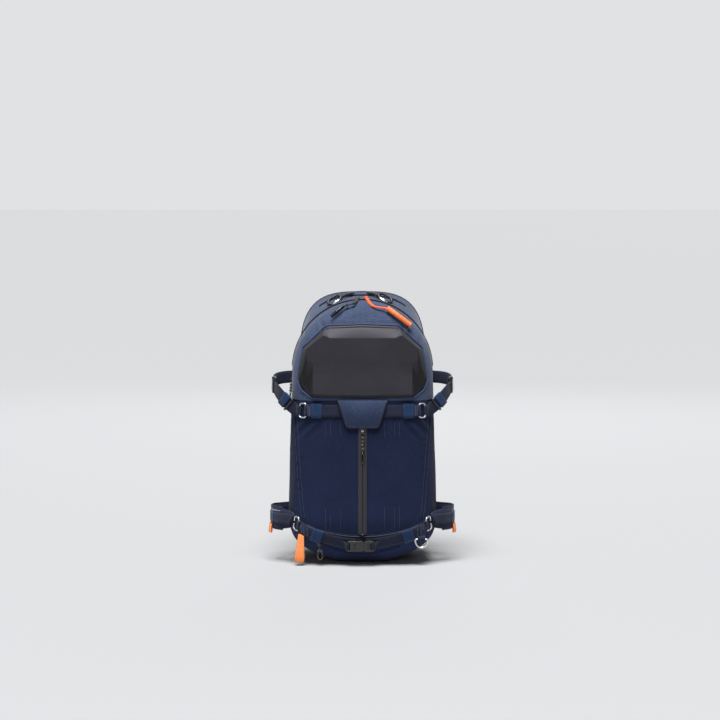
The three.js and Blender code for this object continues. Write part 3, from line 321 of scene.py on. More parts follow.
def bump(distance, width):
    """A soft dent across a line: 1 on it, 0 beyond its width."""
    return math.exp(-((distance / width) ** 2))


def flow(x, y, z, across, along, seed):
    """Smooth noise in folds: short in x and long in z, from -1 to 1."""
    return noise.noise(Vector((x / across + seed, y / across - seed, z / along + 3 * seed)))


# Solution-dyed nylon in plain weave with a matt face. Its threads are 0.5 mm apart, drawn 1.2 mm
# apart so that they show. A little sheen comes from the fuzz of the yarn at grazing angles.
def woven_nylon(name, dark, light, thread=0.0012, roughness=0.85, sheen=0.05, depth=0.25):
    material, tree, shader = new_material(
        name,
        Roughness=roughness,
        Sheen_Weight=sheen,
        Sheen_Roughness=0.45,
        Specular_IOR_Level=0.14,
    )
    threads = add(tree, "ShaderNodeUVMap", uv_map="UVMap")
    turned = add(tree, "ShaderNodeMapping", {"Vector": threads.outputs["UV"]})
    turned.inputs["Scale"].default_value = (2 * math.pi / thread,) * 3
    axes = add(tree, "ShaderNodeSeparateXYZ", {"Vector": turned.outputs["Vector"]})
    warp = add(tree, "ShaderNodeMath", {0: axes.outputs["X"]}, operation="SINE")
    weft = add(tree, "ShaderNodeMath", {0: axes.outputs["Y"]}, operation="SINE")
    over = add(tree, "ShaderNodeMath", {0: warp.outputs[0], 1: weft.outputs[0]}, operation="MULTIPLY")
    place = add(tree, "ShaderNodeTexCoord")
    yarn = add(
        tree, "ShaderNodeTexNoise", {"Vector": place.outputs["Object"], "Scale": 650.0, "Detail": 3.0}
    )
    dye = add(
        tree, "ShaderNodeTexNoise", {"Vector": place.outputs["Object"], "Scale": 14.0, "Detail": 4.0}
    )
    slub = add(
        tree, "ShaderNodeTexNoise", {"Vector": place.outputs["Object"], "Scale": 330.0, "Detail": 1.0}
    )
    sums = {"operation": "MULTIPLY_ADD"}
    cloud = add(tree, "ShaderNodeMath", {0: slub.outputs["Fac"], 1: 0.9, 2: dye.outputs["Fac"]}, **sums)
    shade = add(tree, "ShaderNodeMath", {0: over.outputs[0], 1: 0.16, 2: yarn.outputs["Fac"]}, **sums)
    blend = add(tree, "ShaderNodeMath", {0: cloud.outputs[0], 1: 0.5, 2: shade.outputs[0]}, **sums)
    ramp = add(
        tree, "ShaderNodeMapRange", {"Value": blend.outputs[0], "From Min": 0.66, "From Max": 1.3}
    )
    tone = add(
        tree,
        "ShaderNodeMix",
        {"Factor": ramp.outputs["Result"], "A": linear(dark), "B": linear(light)},
        data_type="RGBA",
    )
    relief = add(
        tree, "ShaderNodeBump", {"Height": over.outputs[0], "Strength": depth, "Distance": 0.0004}
    )
    tree.links.new(tone.outputs["Result"], shader.inputs["Base Color"])
    tree.links.new(relief.outputs["Normal"], shader.inputs["Normal"])
    return material


body_nylon = woven_nylon("navy_plain_weave_nylon", "#10172d", "#1a2442")
# The top nylon is drawn lighter than the body's, partly as a lighter melange cloth and partly as painted
# overhead light on the upward-facing crest and lid.
top_nylon_painted_light = woven_nylon("lighter_navy_melange_nylon", "#29344a", "#4a5672", sheen=0.2)

CENTRE_ZIP_LOW, CENTRE_ZIP_HIGH = 0.064, 0.277
PLEATS = (0.048, 0.056, 0.064, 0.073)


def side_seam_x(z):
    """The seam down each side of the front bag leans in towards the base."""
    return 0.119 + 0.016 * min(1, max(0, (z - 0.1) / 0.2)) ** 0.8


def pocket_folds(x, y, z):
    """How the front bag's fabric stands and creases, from its middle plane."""
    zipped = bump(abs(x) - 0.012, 0.006) if CENTRE_ZIP_LOW < z < CENTRE_ZIP_HIGH else 0
    strap = bump(z - STRAP_Z, 0.016)
    low_strap = bump(z - base_strap_line(x), 0.02)
    seam = bump(abs(x) - side_seam_x(z), 0.0035)
    below_strap = bump(z - STRAP_Z + 0.028, 0.024)
    full = 0.0012 * flow(x, y, z, 0.05, 0.09, 3.1) + 0.0006 * flow(x, y, z, 0.012, 0.1, 8.4)
    gathers = 0.0013 * below_strap * flow(x, y, z, 0.007, 0.05, 1.7)
    puckers = 0.0009 * bump(abs(x) - side_seam_x(z), 0.016) * flow(z, y, x, 0.006, 0.03, 5.2)
    corner = bump(abs(x) - 0.112, 0.022) * bump(z - 0.285, 0.022)
    fold = 0.0024 * corner * math.sin((abs(x) + 0.8 * z) / 0.0042)
    low = 0.0009 * bump(z - base_seam(x) - 0.015, 0.016) * flow(x, y, z, 0.009, 0.04, 9.9)
    ends = max(bump(z - base_seam(x) - 0.012, 0.03), bump(z - 0.284, 0.018))
    pleats = max(bump(abs(x) - place, 0.0016) for place in PLEATS) * ends
    raised = full + gathers + puckers + fold + low
    still = max(strap, low_strap, zipped, bump(abs(x), 0.011))
    return raised * (1 - still) - 0.0014 * seam - 0.0006 * zipped - 0.0009 * pleats


pocket_sides = np.linspace(-1, 1, 181)
pocket_rows = np.linspace(0, 1, 96)
pocket_spread = np.sign(pocket_sides) * (1 - (1 - np.abs(pocket_sides)) ** 1.6)
pocket_u, pocket_v = np.meshgrid(pocket_spread, pocket_rows)
pocket_x = pocket_u * 0.15
for _ in range(4):
    pocket_z = base_seam(pocket_x) + 0.0003 + pocket_v * (LID_Z - 0.0003 - base_seam(pocket_x))
    outline_x = flank_half(pocket_z, ARCH_R, FRONT_FLARE)
    for _ in range(3):
        low = np.maximum(0, 1 - (pocket_z - underside(outline_x)) / ROLL)
        outline_x = flank_half(pocket_z, ARCH_R, FRONT_FLARE) - ROLL * (1 - (1 - low**6) ** (1 / 6))
    pocket_x = pocket_u * outline_x
pocket_y = front_y(pocket_x, pocket_z)
pocket_y[:, [0, -1]] = ZIP_Y
pocket_points = np.stack([pocket_x, pocket_y, pocket_z], -1)
pocket_arc = pocket_x + np.sign(pocket_x) * 0.7 * np.abs(pocket_y - pocket_y[:, 90:91])
front_bag = sew("front_bag_cloth", pocket_points, np.stack([pocket_arc, pocket_z], -1), body_nylon)
rumple(front_bag, pocket_folds)
line_cloth(front_bag, 0.0026)
fit(front_bag, "front_bag", "pack")

# ---- Base bag -------------------------------------------------------------------------------------
# The bottom of the pack in the same nylon, wrapped from the curved seam under the front bag round
# the base to the back. A coated cord piping is sewn into the seam.

BASE_COLUMNS = 190


def seam_turn(s):
    """The direction, from the middle of the side view, in which the base seam meets the outline."""
    low, high = np.full_like(s, math.radians(-80)), np.zeros_like(s)
    for _ in range(40):
        turn = (low + high) / 2
        r = (1 - s) * reach(front_edge, turn, MID.z) + s * reach(back_edge, turn, MID.z)
        above = MID.z + r * np.sin(turn) > base_seam(r * np.cos(turn))
        low, high = np.where(above, low, turn), np.where(above, turn, high)
    return low


def ring_point(turn, s):
    """A point on the outline between the zip, s = 0, and the back, s = 1."""
    r = (1 - s) * reach(front_edge, turn, MID.z) + s * reach(back_edge, turn, MID.z)
    y = ZIP_Y + (BACK_Y - ZIP_Y) * s
    return np.stack([r * np.cos(turn), y + 0 * r, MID.z + r * np.sin(turn)], -1)


def arc_lengths(points, axis):
    """How far along a grid of points each one lies, in metres."""
    steps = np.linalg.norm(np.diff(points, axis=axis), axis=-1)
    lengths = np.cumsum(steps, axis=axis)
    start = np.zeros_like(np.take(lengths, [0], axis=axis))
    return np.concatenate([start, lengths], axis=axis)


def seam_reach(turns):
    """How far the base seam lies from the middle of the front, for an array of directions."""
    cos, sin, drop = np.cos(turns), np.sin(turns), 0.2
    return 2 * drop / (1e-9 - sin + np.sqrt(sin**2 + 4 * SEAM_BEND * drop * cos**2))


base_t = np.linspace(0, 1, BASE_COLUMNS)
front_turn = -math.pi - seam_turn(np.zeros(1)) + base_t * (math.pi + 2 * seam_turn(np.zeros(1)))
seam_r = seam_reach(front_turn)
outline_r = np.maximum(seam_r, reach(front_edge, front_turn, MID.z))
front_q = (1 - (1 - np.linspace(0, 1, 30)) ** 1.7)[:, None]
front_r = seam_r + front_q * (outline_r - seam_r)
face_x, face_z = front_r * np.cos(front_turn), MID.z + front_r * np.sin(front_turn)
face_y = front_y(face_x, face_z)
face_y[-1] = ZIP_Y
base_s = np.linspace(0, 1, 22)[1:, None]
turn_right = seam_turn(base_s)
wrap_turn = -math.pi - turn_right + base_t * (math.pi + 2 * turn_right)
base_points = np.concatenate([np.stack([face_x, face_y, face_z], -1), ring_point(wrap_turn, base_s)])
base_uv = np.stack([arc_lengths(base_points, 1), arc_lengths(base_points, 0)], -1)
# The base is cut from a heavier nylon, drawn in a lighter copy of the navy as painted fill light, since the
# base faces the floor and gets little light.
base_nylon_painted_fill = woven_nylon("navy_ripstop_base_nylon", "#1a2340", "#27335a")
base_bag = sew("base_bag_cloth", base_points, base_uv, base_nylon_painted_fill)


def base_folds(x, y, z):
    """The base stands nearly flat on its stiffener, with slack at the corners."""
    corner = min(1, abs(x) / 0.12) * min(1, max(0, (z - 0.006) / 0.02))
    strap = bump(z - base_strap_line(x), 0.02) if y < ZIP_Y else 0
    near_seam = bump(z - base_seam(x), 0.004)
    soft = 0.0011 * flow(x, y, z, 0.03, 0.05, 6.1) + 0.0008 * flow(y, z, x, 0.009, 0.06, 2.2)
    return corner * soft * (1 - strap) - 0.0010 * near_seam


rumple(base_bag, base_folds, high=0.0015)
line_cloth(base_bag, 0.0026)
fit(base_bag, "base_bag", "pack")


def toned(name, dark, light, scale, detail=2.0, **values):
    """A material whose colour wanders between two tones, with its tree, its shader and its noise."""
    material, tree, shader = new_material(name, **values)
    place = add(tree, "ShaderNodeTexCoord")
    cloud = add(
        tree,
        "ShaderNodeTexNoise",
        {"Vector": place.outputs["Object"], "Scale": scale, "Detail": detail},
    )
    tone = add(
        tree,
        "ShaderNodeMix",
        {"Factor": cloud.outputs["Fac"], "A": linear(dark), "B": linear(light)},
        data_type="RGBA",
    )
    tree.links.new(tone.outputs["Result"], shader.inputs["Base Color"])
    return material, tree, shader, cloud


# Polyurethane-coated cord, matt black, that fills the seams.
coated_cord = toned(
    "coated_piping_cord", "#15161d", "#262836", 420.0, Roughness=0.5, Specular_IOR_Level=0.4
)[0]


def tube(name, path, radius, material, sides=8, closed=False, flat=1.0, up=None):
    """A round or flattened cord along a path, closed at its ends. radius may be one per point."""
    points = [Vector(p) for p in path]
    count = len(points)
    radii = radius if hasattr(radius, "__len__") else [radius] * count
    side = Vector(up) if up is not None else Vector((0, 0, 1))
    rings = []
    for i, p in enumerate(points):
        before = points[i - 1] if i or closed else points[0]
        after = points[(i + 1) % count] if i + 1 < count or closed else points[-1]
        along = (after - before).normalized()
        side = side - along * side.dot(along)
        if side.length < 1e-4:
            side = along.orthogonal()
        side.normalize()
        over = along.cross(side)
        turns = [2 * math.pi * k / sides for k in range(sides)]
        rings.append(
            [p + side * math.cos(a) * radii[i] * flat + over * math.sin(a) * radii[i] for a in turns]
        )
    made = bmesh.new()
    verts = [[made.verts.new(p) for p in ring] for ring in rings]
    for i in range(count if closed else count - 1):
        a, b = verts[i], verts[(i + 1) % count]
        for k in range(sides):
            made.faces.new((a[k], a[(k + 1) % sides], b[(k + 1) % sides], b[k]))
    if not closed:
        made.faces.new(verts[0][::-1])
        made.faces.new(verts[-1])
    bmesh.ops.recalc_face_normals(made, faces=made.faces)
    return finished(made, name, material)


def smooth_path(points, steps=12, closed=False):
    """A Catmull-Rom curve through points."""
    p = [Vector(q) for q in points]
    n = len(p)
    at = (lambda i: p[i % n]) if closed else (lambda i: p[min(max(i, 0), n - 1)])
    found = []
    for i in range(n if closed else n - 1):
        a, b, c, d = at(i - 1), at(i), at(i + 1), at(i + 2)
        for k in range(steps):
            t = k / steps
            bend = (2 * a - 5 * b + 4 * c - d) * t**2 + (3 * b - a - 3 * c + d) * t**3
            found.append(0.5 * (2 * b + (c - a) * t + bend))
    return found if closed else [*found, p[-1]]


def ride_all(body, slot, *made):
    """Sets pieces on a body; slot is not used."""
    for obj in made:
        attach(obj, body)


seam_line = [on_front(x, float(base_seam(x)), 0.0003)[0] for x in np.linspace(-0.1475, 0.1475, 90)]
seam_back = [Vector(ring_point(seam_turn(np.array([s])), np.array([s]))[0]) for s in np.linspace(0, 1, 16)]
seam_path = [Vector((-p.x, p.y, p.z)) for p in reversed(seam_back)] + seam_line + seam_back
base_piping = tube("base_seam_piping", seam_path, 0.0013, coated_cord, 6)
ride_all("pack", "navy_fabric", base_piping)

# ---- Main bag -------------------------------------------------------------------------------------
# The body of the pack: a gusset of the lighter nylon over the crest, its lightness partly painted overhead
# light, and the darker one down the flanks, with a top opening, and a lined divider behind the front bag.

HOLE_X, HOLE_FRONT, HOLE_REAR = 0.0702, 0.0129, 0.0434
MAIN_COLUMNS = 321
HOLE_REACH = 24
s_of = lambda y: (y - ZIP_Y) / (BACK_Y - ZIP_Y)
main_s = np.concatenate([
    np.linspace(0, s_of(HOLE_FRONT), 26),
    np.linspace(s_of(HOLE_FRONT), s_of(HOLE_REAR), 12)[1:],
    np.linspace(s_of(HOLE_REAR), 1, 5)[1:],
])[:, None]
side_turn = seam_turn(main_s)
column = np.linspace(0, 1, MAIN_COLUMNS)
main_turn = side_turn + column * (math.pi - 2 * side_turn)


def turn_at(x, s):
    """The direction of the point of the crest that lies at x."""
    low, high = np.full_like(s, 0.3), np.full_like(s, math.pi / 2)
    for _ in range(40):
        turn = (low + high) / 2
        wide = ring_point(turn, s)[..., 0] > x
        low, high = np.where(wide, turn, low), np.where(wide, high, turn)
    return low


hole_turn = turn_at(HOLE_X, main_s)
hole_column = int(np.argmin(np.abs(main_turn[30] - hole_turn[30])))
pull = np.clip(1 - np.abs(np.arange(MAIN_COLUMNS) - hole_column) / HOLE_REACH, 0, 1)
shift = hole_turn - main_turn[:, hole_column : hole_column + 1]
main_turn = main_turn + shift * pull - shift * pull[::-1]
main_points = ring_point(main_turn, main_s)
main_uv = np.stack([arc_lengths(main_points, 1), arc_lengths(main_points, 0)], -1)
main_bag = sew("main_bag_cloth", main_points, main_uv, body_nylon)

trimmed = bmesh.new()
trimmed.from_mesh(main_bag.data)
in_hole = [
    f
    for f in trimmed.faces
    if abs(f.calc_center_median().x) < HOLE_X
    and HOLE_FRONT < f.calc_center_median().y < HOLE_REAR
    and f.calc_center_median().z > ARCH_Z
]
bmesh.ops.delete(trimmed, geom=in_hole, context="FACES")
trimmed.to_mesh(main_bag.data)
trimmed.free()
main_bag.data.materials.append(top_nylon_painted_light)
# Above the shoulder seam the crest takes the top nylon, whose lighter tone is partly painted overhead light.
SHOULDER_Z = 0.455
for face in main_bag.data.polygons:
    face.material_index = 1 if face.center.z > SHOULDER_Z else 0


def flank_folds(x, y, z):
    """The sides hang in soft upright folds from the shoulder, and the crest is taut."""
    side = min(1, max(0, (0.47 - z) / 0.06)) * min(1, max(0, (abs(x) - 0.09) / 0.03))
    edge = min(1, abs(y - ZIP_Y) / 0.012) * min(1, abs(y - BACK_Y) / 0.012)
    deep = 0.0021 * flow(y, x, z, 0.022, 0.11, 4.4) + 0.0009 * flow(y, x, z, 0.008, 0.06, 7.3)
    crest = 0.0009 * flow(x, z, y, 0.04, 0.03, 2.9) * (1 - side)
    seam = 0.0012 * bump(z - SHOULDER_Z, 0.0035) + 0.001 * bump(z - base_seam(x), 0.004)
    return edge * (side * deep + crest) - seam


rumple(main_bag, flank_folds, high=0.0016)
line_cloth(main_bag, 0.0026)
fit(main_bag, "main_bag", "pack")

# The divider and the lining are a thin grey taffeta, so that things inside can be seen.
lining = woven_nylon("grey_lining_taffeta", "#565b66", "#6d727d", thread=0.001, sheen=0.1, depth=0.15)


def flat_panel(name, outline, middle_z, y, material, spokes=240, rings=14):
    """A flat panel of cloth within an outline given by its reach in each direction."""
    turns = np.linspace(0, 2 * math.pi, spokes, endpoint=False)
    r = np.linspace(0.0, 1, rings)[:, None] * outline(turns)
    x, z = r * np.cos(turns), middle_z + r * np.sin(turns)
    return sew(name, np.stack([x, y + 0 * x, z], -1), np.stack([x, z], -1), material, closed=True)


def above_base_seam(turns):
    return np.minimum(reach(front_edge, turns, MID.z) - 0.0026, seam_reach(turns))


divider = flat_panel("divider_cloth", above_base_seam, MID.z, ZIP_Y + 0.0012, lining)
line_cloth(divider, -0.0022)  # it thickens towards the front
ride_all("pack", "navy_fabric", divider)

# ---- Back panel -----------------------------------------------------------------------------------
# A plain panel of the darker nylon that closes the back, over the plastic sheet and its stay, with
# piping all round.

back_cloth = flat_panel(
    "back_cloth", lambda turns: reach(back_edge, turns, MID.z) - 0.0003, MID.z, BACK_Y + 0.0002, body_nylon
)
rim_turns = np.linspace(0, 2 * math.pi, 200, endpoint=False)
back_rim = ring_point(rim_turns, np.ones_like(rim_turns))
back_piping = tube("back_seam_piping", back_rim, 0.0016, coated_cord, 6, closed=True)
ride_all("pack", "navy_fabric", back_cloth, back_piping)

# Polypropylene sheet, white and slightly waxy, with the fine grain of its extrusion.
sheet_plastic = toned(
    "extruded_polypropylene_sheet", "#cfd2d6", "#dfe1e4", 260.0, Roughness=0.42, IOR=1.49
)[0]


def refinish(node, material):
    """Gives a node of the solid model a better finish, and leaves its shape alone."""
    obj = frame["nodes"][node]
    obj.data.materials.clear()
    obj.data.materials.append(material)


def brushed(name, colour, roughness, grain):
    """A metal whose fine drawing lines make its gloss uneven."""
    material, tree, shader = new_material(name, Metallic=1.0)
    shader.inputs["Base Color"].default_value = linear(colour)
    place = add(tree, "ShaderNodeTexCoord")
    lines = add(
        tree, "ShaderNodeTexNoise", {"Vector": place.outputs["Object"], "Scale": grain, "Detail": 4.0}
    )
    gloss = add(
        tree,
        "ShaderNodeMapRange",
        {"Value": lines.outputs["Fac"], "To Min": roughness * 0.7, "To Max": roughness * 1.4},
    )
    tree.links.new(gloss.outputs["Result"], shader.inputs["Roughness"])
    return material


stay_metal = brushed("drawn_aluminium_rod", "#c3c6ca", 0.35, 700.0)
refinish("frame_sheet", sheet_plastic)
refinish("frame_stay", stay_metal)

# ---- Moulded face ---------------------------------------------------------------------------------
# Ethylene-vinyl acetate foam, thermoformed under a knit, that stands as a faceted shell on the top
# pocket: a flat middle, long bevels all round and a stitched border.

FACE_MID, FACE_RISE = 0.405, 0.0068
FACE_OUTLINE = [
    (0, 0.483), (0.0705, 0.4795), (0.078, 0.474), (0.1195, 0.4345),
    (0.1295, 0.371), (0.122, 0.353), (0.101, 0.338), (0, 0.335),
]
FACE_PLATEAU = [
    (0, 0.4576), (0.0648, 0.4576), (0.078, 0.4635), (0.112, 0.4365),
    (0.1105, 0.411), (0.0994, 0.404), (0.0994, 0.3445), (0, 0.3425),
]


def both_halves(points):
    return points + [(-x, z) for x, z in reversed(points) if x > 0]


def rounded(polygon, radius, per_side=30, per_corner=9):
    """A closed line along a polygon whose corners are turned round."""
    n = len(polygon)
    corners = [Vector(p) for p in polygon]
    found = []
    for i in range(n):
        before, here, after = corners[i - 1], corners[i], corners[(i + 1) % n]
        a = here + (before - here).normalized() * radius
        b = here + (after - here).normalized() * radius
        for k in range(per_corner):
            t = k / per_corner
            found.append((1 - t) ** 2 * a + 2 * t * (1 - t) * here + t * t * b)
        c = after + (here - after).normalized() * radius
        found += [b.lerp(c, k / per_side) for k in range(per_side)]
    return np.array([tuple(p) for p in found])


face_rim = rounded(both_halves(FACE_OUTLINE), 0.004)
face_top = rounded(both_halves(FACE_PLATEAU), 0.0025)

# Each row is a share of the way from the middle to the rim: the flat middle, the bevel, a groove for
# the stitches and a turned-down edge.
face_rows = []


def face_row(share, rise):
    """share 0 to 1 crosses the flat middle, and 1 to 2 the bevel."""
    middle = np.array([0, FACE_MID])
    flat = middle + (face_top - middle) * min(1, share)
    xz = flat + (face_rim - face_top) * max(0, share - 1)
    lean = 0.04 * np.maximum(0, flat[:, 1] - 0.4)
    top_y = front_y(0 * flat[:, 0], np.minimum(flat[:, 1], 0.44)) - FACE_RISE - lean
    rim_y = front_y(xz[:, 0], xz[:, 1]) - 0.001
    t = max(0, share - 1)
    crown = 0.0016 * (1 - min(1, share) ** 2)
    y = top_y * (1 - t) + rim_y * t - rise - crown
    face_rows.append(np.stack([xz[:, 0], y, xz[:, 1]], -1))


for share in (0.0, 0.15, 0.3, 0.45, 0.6, 0.75, 0.88, 0.955, 0.985):
    face_row(share, 0)
for share, rise in (
    (0.997, 0), (1.0, -0.0001), (1.015, -0.0001), (1.06, 0), (1.25, 0), (1.4, 0), (1.55, 0),
    (1.7, 0.0001), (1.76, 0.0001), (1.785, -0.0006), (1.81, -0.0011), (1.835, -0.0006),
    (1.86, 0.0002), (1.93, 0.0006), (1.97, 0.0004), (1.99, 0.0), (2.0, -0.0008),
):
    face_row(share, rise)
under_rim = face_rows[-1].copy()
under_rim[:, 1] += 0.002
face_rows.append(under_rim)
face_points = np.stack(face_rows)
face_uv = np.stack([face_points[..., 0], face_points[..., 2]], -1)

moulded_foam, foam_tree, foam_shader = new_material(
    "thermoformed_foam_under_knit",
    Roughness=0.6,
    Sheen_Weight=0.06,
    Sheen_Roughness=0.4,
    Specular_IOR_Level=0.28,
)
foam_place = add(foam_tree, "ShaderNodeTexCoord")
foam_knit = add(
    foam_tree,
    "ShaderNodeTexVoronoi",
    {"Vector": foam_place.outputs["Object"], "Scale": 620.0, "Randomness": 0.55},
)
foam_cloud = add(
    foam_tree, "ShaderNodeTexNoise", {"Vector": foam_place.outputs["Object"], "Scale": 22.0, "Detail": 3.0}
)
foam_mix = add(
    foam_tree,
    "ShaderNodeMath",
    {0: foam_knit.outputs["Distance"], 1: 0.5, 2: foam_cloud.outputs["Fac"]},
    operation="MULTIPLY_ADD",
)
foam_tone = add(
    foam_tree,
    "ShaderNodeMix",
    {"Factor": foam_mix.outputs[0], "A": linear("#1b1b20"), "B": linear("#2b2b32")},
    data_type="RGBA",
)
foam_relief = add(
    foam_tree,
    "ShaderNodeBump",
    {"Height": foam_knit.outputs["Distance"], "Strength": 0.3, "Distance": 0.0003},
)
# Painted light by facing: the side bevels are painted dark as shade, and the upper bevels are painted light
# as the overhead light falling on them.
foam_surface = add(foam_tree, "ShaderNodeNewGeometry")
foam_facing = add(foam_tree, "ShaderNodeSeparateXYZ", {"Vector": foam_surface.outputs["Normal"]})
foam_sideways = add(foam_tree, "ShaderNodeMath", {0: foam_facing.outputs["X"]}, operation="ABSOLUTE")
foam_side_shade_amount = add(
    foam_tree,
    "ShaderNodeMapRange",
    {"Value": foam_sideways.outputs[0], "From Min": 0.22, "From Max": 0.5, "To Min": 0.0, "To Max": 0.88},
)
foam_top_light_amount = add(
    foam_tree,
    "ShaderNodeMapRange",
    {"Value": foam_facing.outputs["Z"], "From Min": 0.22, "From Max": 0.5, "To Min": 0.0, "To Max": 0.27},
)
# Painted shade: the side bevels are mixed towards near black.
foam_side = add(
    foam_tree,
    "ShaderNodeMix",
    {"Factor": foam_side_shade_amount.outputs["Result"], "A": foam_tone.outputs["Result"], "B": linear("#0b090b")},
    data_type="RGBA",
)
# Painted highlight: the upward-facing bevels are mixed towards a pale grey.
foam_painted_light_tone = add(
    foam_tree,
    "ShaderNodeMix",
    {"Factor": foam_top_light_amount.outputs["Result"], "A": foam_side.outputs["Result"], "B": linear("#5a5762")},
    data_type="RGBA",
)
foam_tree.links.new(foam_painted_light_tone.outputs["Result"], foam_shader.inputs["Base Color"])
foam_tree.links.new(foam_relief.outputs["Normal"], foam_shader.inputs["Normal"])

face = sew("moulded_face", face_points, face_uv, moulded_foam, closed=True)
line_cloth(face, 0.0032)
fit(face, "eva_panel", "front_lid")

# A cord covered in the lighter cloth is sewn in round the foam; its light tone is partly a painted highlight.
covered_cord_painted_highlight = toned(
    "cloth_covered_cord", "#2b3956", "#42527a", 500.0,
    Roughness=0.7, Sheen_Weight=0.1, Specular_IOR_Level=0.2,
)[0]
rim_line = [on_front(x * 1.012, FACE_MID + (z - FACE_MID) * 1.02, 0.0006)[0] for x, z in face_rim]
face_edge = tube("moulded_face_edge", rim_line, 0.0016, covered_cord_painted_highlight, 8, closed=True)
ride_all("front_lid", "moulded_foam", face_edge)

# ---- Lid cloth ------------------------------------------------------------------------------------
# The lighter nylon round the moulded face, its lightness partly painted overhead light, from the front zip
# down to the strap, where its lower edge is a hinge. Shaped seams run from the corners of the face to the
# zip.

lid_turns = np.linspace(0, 2 * math.pi, 360, endpoint=False)


def lid_outline(turns):
    """To the zip, or to the lid's lower edge."""
    zip_r = reach(front_edge, turns, FACE_MID)
    fall = np.minimum(np.sin(turns), -1e-3)
    edge_r = np.where(fall < -1e-3, (FACE_MID - LID_Z - 0.0003) / -fall, 9)
    return np.minimum(zip_r, edge_r)


def face_outline(turns):
    """To the edge of the moulded face."""
    rim = face_rim - np.array([0, FACE_MID])
    at = np.arctan2(rim[:, 1], rim[:, 0]) % (2 * math.pi)
    order = np.argsort(at)
    return np.interp(turns, at[order], np.hypot(*rim.T)[order], period=2 * math.pi) - 0.001


lid_corner_turn = math.atan2(LID_Z - FACE_MID, float(flank_half(np.array(LID_Z), ARCH_R, FRONT_FLARE)))
for exact in (lid_corner_turn % (2 * math.pi), (math.pi - lid_corner_turn) % (2 * math.pi)):
    lid_turns[np.argmin(np.abs(lid_turns - exact))] = exact
lid_inner, lid_outer = face_outline(lid_turns), lid_outline(lid_turns)
lid_q = (1 - (1 - np.linspace(0, 1, 40)) ** 1.8)[:, None]
lid_r = lid_inner + lid_q * (lid_outer - lid_inner)
lid_x, lid_z = lid_r * np.cos(lid_turns), FACE_MID + lid_r * np.sin(lid_turns)
lid_y = front_y(lid_x, lid_z)
lid_grow = 0.7 * np.abs(lid_y - lid_y[0])
lid_uv = np.stack([lid_x + lid_grow * np.cos(lid_turns), lid_z + lid_grow * np.sin(lid_turns)], -1)
lid_cloth = sew("lid_cloth", np.stack([lid_x, lid_y, lid_z], -1), lid_uv, top_nylon_painted_light, closed=True)


def shoulder_seam(x, z):
    """Distance to the shaped seam from a corner of the face to the zip."""
    along = Vector((abs(x) - 0.088, z - 0.462))
    way = Vector((0.42, 0.9)).normalized()
    return along.dot(Vector((way.y, -way.x)))


def lid_folds(x, y, z):
    """The lid is taut over the crest and creases between the face's corners and the zip."""
    edge = min(1, max(0, (ZIP_Y - 0.004 - y) / 0.012))
    above = min(1, max(0, (z - 0.44) / 0.03))
    corner = bump(abs(x) - 0.1, 0.032) * bump(z - 0.475, 0.04)
    stray = 2 * noise.noise(Vector((x, 0, z)) * 20)
    crease = 0.0016 * corner * math.sin((abs(x) * 0.9 - 0.45 * z) / 0.0036 + stray)
    soft = 0.0014 * flow(x, y, z, 0.045, 0.035, 1.3) + 0.0008 * flow(x, z, y, 0.014, 0.05, 6.7)
    seam = bump(shoulder_seam(x, z), 0.0028) if z > 0.455 else 0
    side = 0.0012 * (1 - above) * flow(x, y, z, 0.02, 0.06, 4.9)
    return edge * (above * soft + crease + side) - 0.0024 * seam * edge


rumple(lid_cloth, lid_folds, high=0.0018)
line_cloth(lid_cloth, 0.0022)
fit(lid_cloth, "lid_shell", "front_lid")

# The pocket behind the moulded face has a lining that shows when the lid is folded down.
lid_lining = flat_panel(
    "lid_lining", lambda turns: lid_outline(turns) - 0.004, FACE_MID, ZIP_Y - 0.0035, lining
)
ride_all("front_lid", "navy_fabric", lid_lining)

# ---- Top opening ----------------------------------------------------------------------------------
# A flap of the lighter nylon, its lightness partly painted overhead light, over the mouth of the main bag,
# sewn on behind and bound at its edge.

crest_x = np.linspace(-0.07, 0.07, 60)
crest_s = s_of(np.linspace(0.015, 0.043, 12))[:, None]
crest_turn = turn_at(np.abs(crest_x) + 0 * crest_s, crest_s + 0 * crest_x)
crest_turn = np.where(crest_x < 0, math.pi - crest_turn, crest_turn)
crest_points = ring_point(crest_turn, crest_s)
top_flap = sew(
    "top_flap_cloth", crest_points, np.stack([crest_points[..., 0], crest_points[..., 1]], -1), top_nylon_painted_light
)
rumple(top_flap, lambda x, y, z: 0.0006 * flow(x, z, y, 0.02, 0.02, 3.3))
line_cloth(top_flap, 0.0022)
fit(top_flap, "main_lid", "main_lid")
flap_rim = [crest_points[0, i] for i in range(60)]
flap_binding = tube("top_flap_binding", flap_rim, 0.0014, coated_cord, 6)
ride_all("main_lid", "navy_fabric", flap_binding)

# ---- Straps across the front ----------------------------------------------------------------------
# Polyester webbing, 25 mm wide above and 22 mm below, with blue elastic keepers. Beside each hook the
# webbing is folded back on itself and held by bartacks.

WEB_LIFT, WEB_THICK = 0.0009, 0.0016
UPPER_HOOK_X, LOWER_HOOK_X = 0.112, 0.127
WIRE = 0.0015

webbing_cloth = woven_nylon(
    "navy_polyester_webbing", "#161b2c", "#232a42", thread=0.0019, roughness=0.66, sheen=0.15, depth=0.8
)
elastic_cloth = woven_nylon(
    "blue_knitted_elastic", "#12294a", "#1c3b66", thread=0.0014, roughness=0.7, sheen=0.2, depth=0.7
)

SECTION = [
    (-0.96, 0), (-0.5, 0), (0, 0), (0.5, 0), (0.96, 0), (1, 0.5),
    (0.96, 1), (0.5, 1), (0, 1), (-0.5, 1), (-0.96, 1), (-1, 0.5),
]


